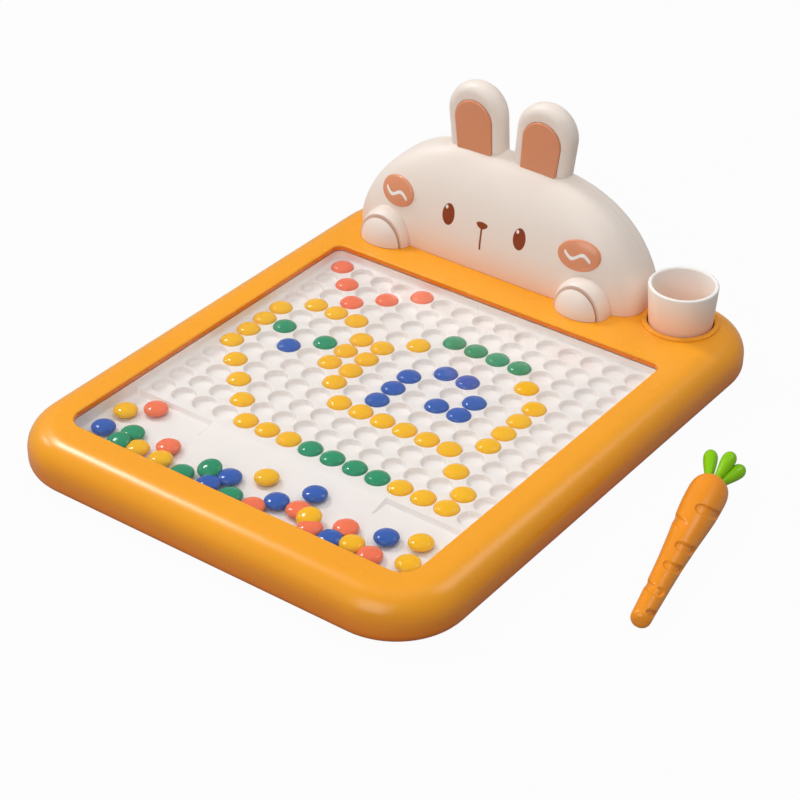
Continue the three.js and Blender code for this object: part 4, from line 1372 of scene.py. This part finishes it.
def laid(bm):
    """Lays the upright pen down on the table, on its tip and its widest ring."""
    widest = max(pen_outline()[:len(PEN_SIDE_SHARES)])
    pitch = math.asin((widest[0] - PEN_TIP_RADIUS) / (widest[1] - TIP_CAP_INSET))
    height = PEN_TIP_RADIUS / math.cos(pitch) + SEAT_GAP / 2
    turned(turned(bm, pitch - math.pi / 2, "X"), PEN_TURN, "Z")
    return moved(bm, PEN_TIP + Vector((0, 0, height)))


body_replaces = ["pen_body", "pen_tip_cap"]
pen_piece = stand(laid(pen_body()), "carrot_body", pen_plastic, "pen", body_replaces, math.pi)
stand(laid(pen_leaves()), "carrot_leaves", leaf_plastic, "pen", ["pen_leaves"], math.pi)
print("pen:", len(pen_piece.data.polygons), "faces")

# %% [markdown]
# ## Screws
# Ten screws can be seen from below and from behind, and two more sit under the head. Each has a
# flat round head with a softened edge and a cross for the driver. The head and the shank are turned
# from one profile, and the cross is cut by two crossed bars. One screw is made and copied to each
# place, with its head down, or turned to the back for the rabbit's head.

# %% Screws
SCREW_HEAD = 3.0
SCREW_EDGE = 0.4
SCREW_SHANK = 1.5
SCREW_LENGTH = 11
SCREW_SMOOTH = math.radians(25)
CROSS_SIZES = (3.4, 0.8, 1.8)


def cross_bars():
    """Two bars across each other, joined into one closed tool."""
    bars = []
    for turn in (0, math.pi / 2):
        bar = bmesh.new()
        bmesh.ops.create_cube(bar, size=1)
        bmesh.ops.scale(bar, vec=CROSS_SIZES, verts=bar.verts)
        bars.append(turned(bar, turn, "Z"))
    return carve(*bars, "UNION")


def screw():
    """A screw that points up from its head's face at the origin."""
    profile = [
        (0, 0), (SCREW_HEAD - SCREW_EDGE, 0), (SCREW_HEAD - SCREW_EDGE * 0.3, SCREW_EDGE * 0.3),
        (SCREW_HEAD, SCREW_EDGE), (SCREW_HEAD, SCREW_HEAD_HEIGHT), (SCREW_SHANK, SCREW_HEAD_HEIGHT),
        (SCREW_SHANK, SCREW_LENGTH - SCREW_SHANK), (0, SCREW_LENGTH),
    ]
    return carve(spun(profile, 32), cross_bars())


one_screw = kept(screw(), "screw")
screw_nodes = [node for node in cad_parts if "screw" in node]
for node in screw_nodes:
    low, high = span(node)
    middle = (low + high) / 2
    rear = node.startswith("rear")
    place = (middle.x, high.y, middle.z) if rear else (middle.x, middle.y, low.z)
    bm = bmesh.new()
    bm.from_mesh(one_screw)
    moved(turned(bm, math.pi / 2 * rear, "X"), place)
    stand(bm, f"{node}_steel", steel, "board", [node], SCREW_SMOOTH)
print("screws:", len(screw_nodes))

# %% [markdown]
# ## Solids that keep their shape
# The bottom cover and the magnet are already right as packed, so they only get their finish.

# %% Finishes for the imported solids
for node, finish in (("pen_magnet", steel), ("bottom_cover", orange_plastic)):
    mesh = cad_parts[node].data
    mesh.materials.clear()
    mesh.materials.append(finish)
print("packed solids with a finish: pen_magnet and bottom_cover")

# %% [markdown]
# ## Table and light
# The picture is a product shot: a white ground without an edge, a small bright lamp from the left
# and above for the crisp highlights, wide soft ones from the front and from above, and a weak one
# from behind, with a tiny spark low on the left for the beads. The top lamp is hidden from gloss,
# because its mirror image would veil the beads. The ground stays white for the camera because most
# of what the camera sees of it is light of its own, and the rest is a surface that can hold the
# shadow. The world is dim for light and white where it is seen, in gloss only by a share.

# %% Table
TABLE_SIZE = 6
TABLE_GLOW = 0.965
TABLE_CLOUDS = 3
TABLE_ROUGHNESS = 0.9
TABLE_GREYS = ((0.38, 0.38, 0.38, 1), (0.42, 0.42, 0.42, 1))


def table_finish():
    finish = Finish("white_table")
    greys = finish.mix(finish.noise(TABLE_CLOUDS), *TABLE_GREYS)
    finish.set(base_color=greys, roughness=TABLE_ROUGHNESS)
    glow = finish.add("Emission", {"Color": FULL_WHITE, "Strength": 1.0})
    seen = finish.add("LightPath", output="Is Camera Ray")
    finish.end(seen * TABLE_GLOW, Signal(finish, finish.shader.outputs[0]), glow)
    return finish.material


table_top = bmesh.new()
bmesh.ops.create_grid(table_top, x_segments=1, y_segments=1, size=TABLE_SIZE)
table = shown("table", kept(table_top, "table"))
table.data.materials.append(table_finish())
print("table:", 2 * TABLE_SIZE, "m wide")

# %% Lights
LIGHTS = [
    ("key", (-1.2, 0.1, 1.4), 0.35, 11),
    ("front", (0.1, -1.5, 1.2), 1.2, 12),
    ("top", (0.0, 0.3, 1.9), 1.2, 9.5),
    ("back", (0.8, 1.0, 1.5), 0.8, 5),
    ("spark", (-1.4, -0.15, 0.85), 0.14, 1.6),
]
LIGHT_TARGET = Vector((0, 0, 0.03))
WORLD_LIGHT = 0.24
GLOSS_SEES = 0.1


def softbox(name, place, size, power):
    data = bpy.data.lights.new(name, "AREA")
    data.shape = "SQUARE"
    data.size = size
    data.energy = power
    lamp = shown(name, data)
    lamp.location = place
    lamp.rotation_euler = (LIGHT_TARGET - Vector(place)).to_track_quat("-Z", "Y").to_euler()
    lamp.visible_glossy = name != "top"


def studio():
    """A dim world for light and a white one for what is seen straight, through glass or in gloss."""
    world = bpy.data.worlds.new("studio")
    nodes = Nodes(world)
    dim = nodes.tree.nodes["Background"]
    nodes.feed(dim.inputs["Color"], FULL_WHITE)
    nodes.feed(dim.inputs["Strength"], WORLD_LIGHT)
    white = nodes.add("Background", {"Color": FULL_WHITE})
    straight, gloss, through = (
        nodes.add("LightPath", output=f"Is {kind} Ray") for kind in ("Camera", "Glossy", "Transmission")
    )
    share = (gloss * GLOSS_SEES).larger(straight).larger(through)
    nodes.end(share, Signal(nodes, dim.outputs[0]), white)
    return world


for name, place, size, power in LIGHTS:
    softbox(name, place, size, power)
bpy.context.scene.world = studio()
bpy.context.scene.view_settings.view_transform = "Standard"
print("lights:", len(LIGHTS))
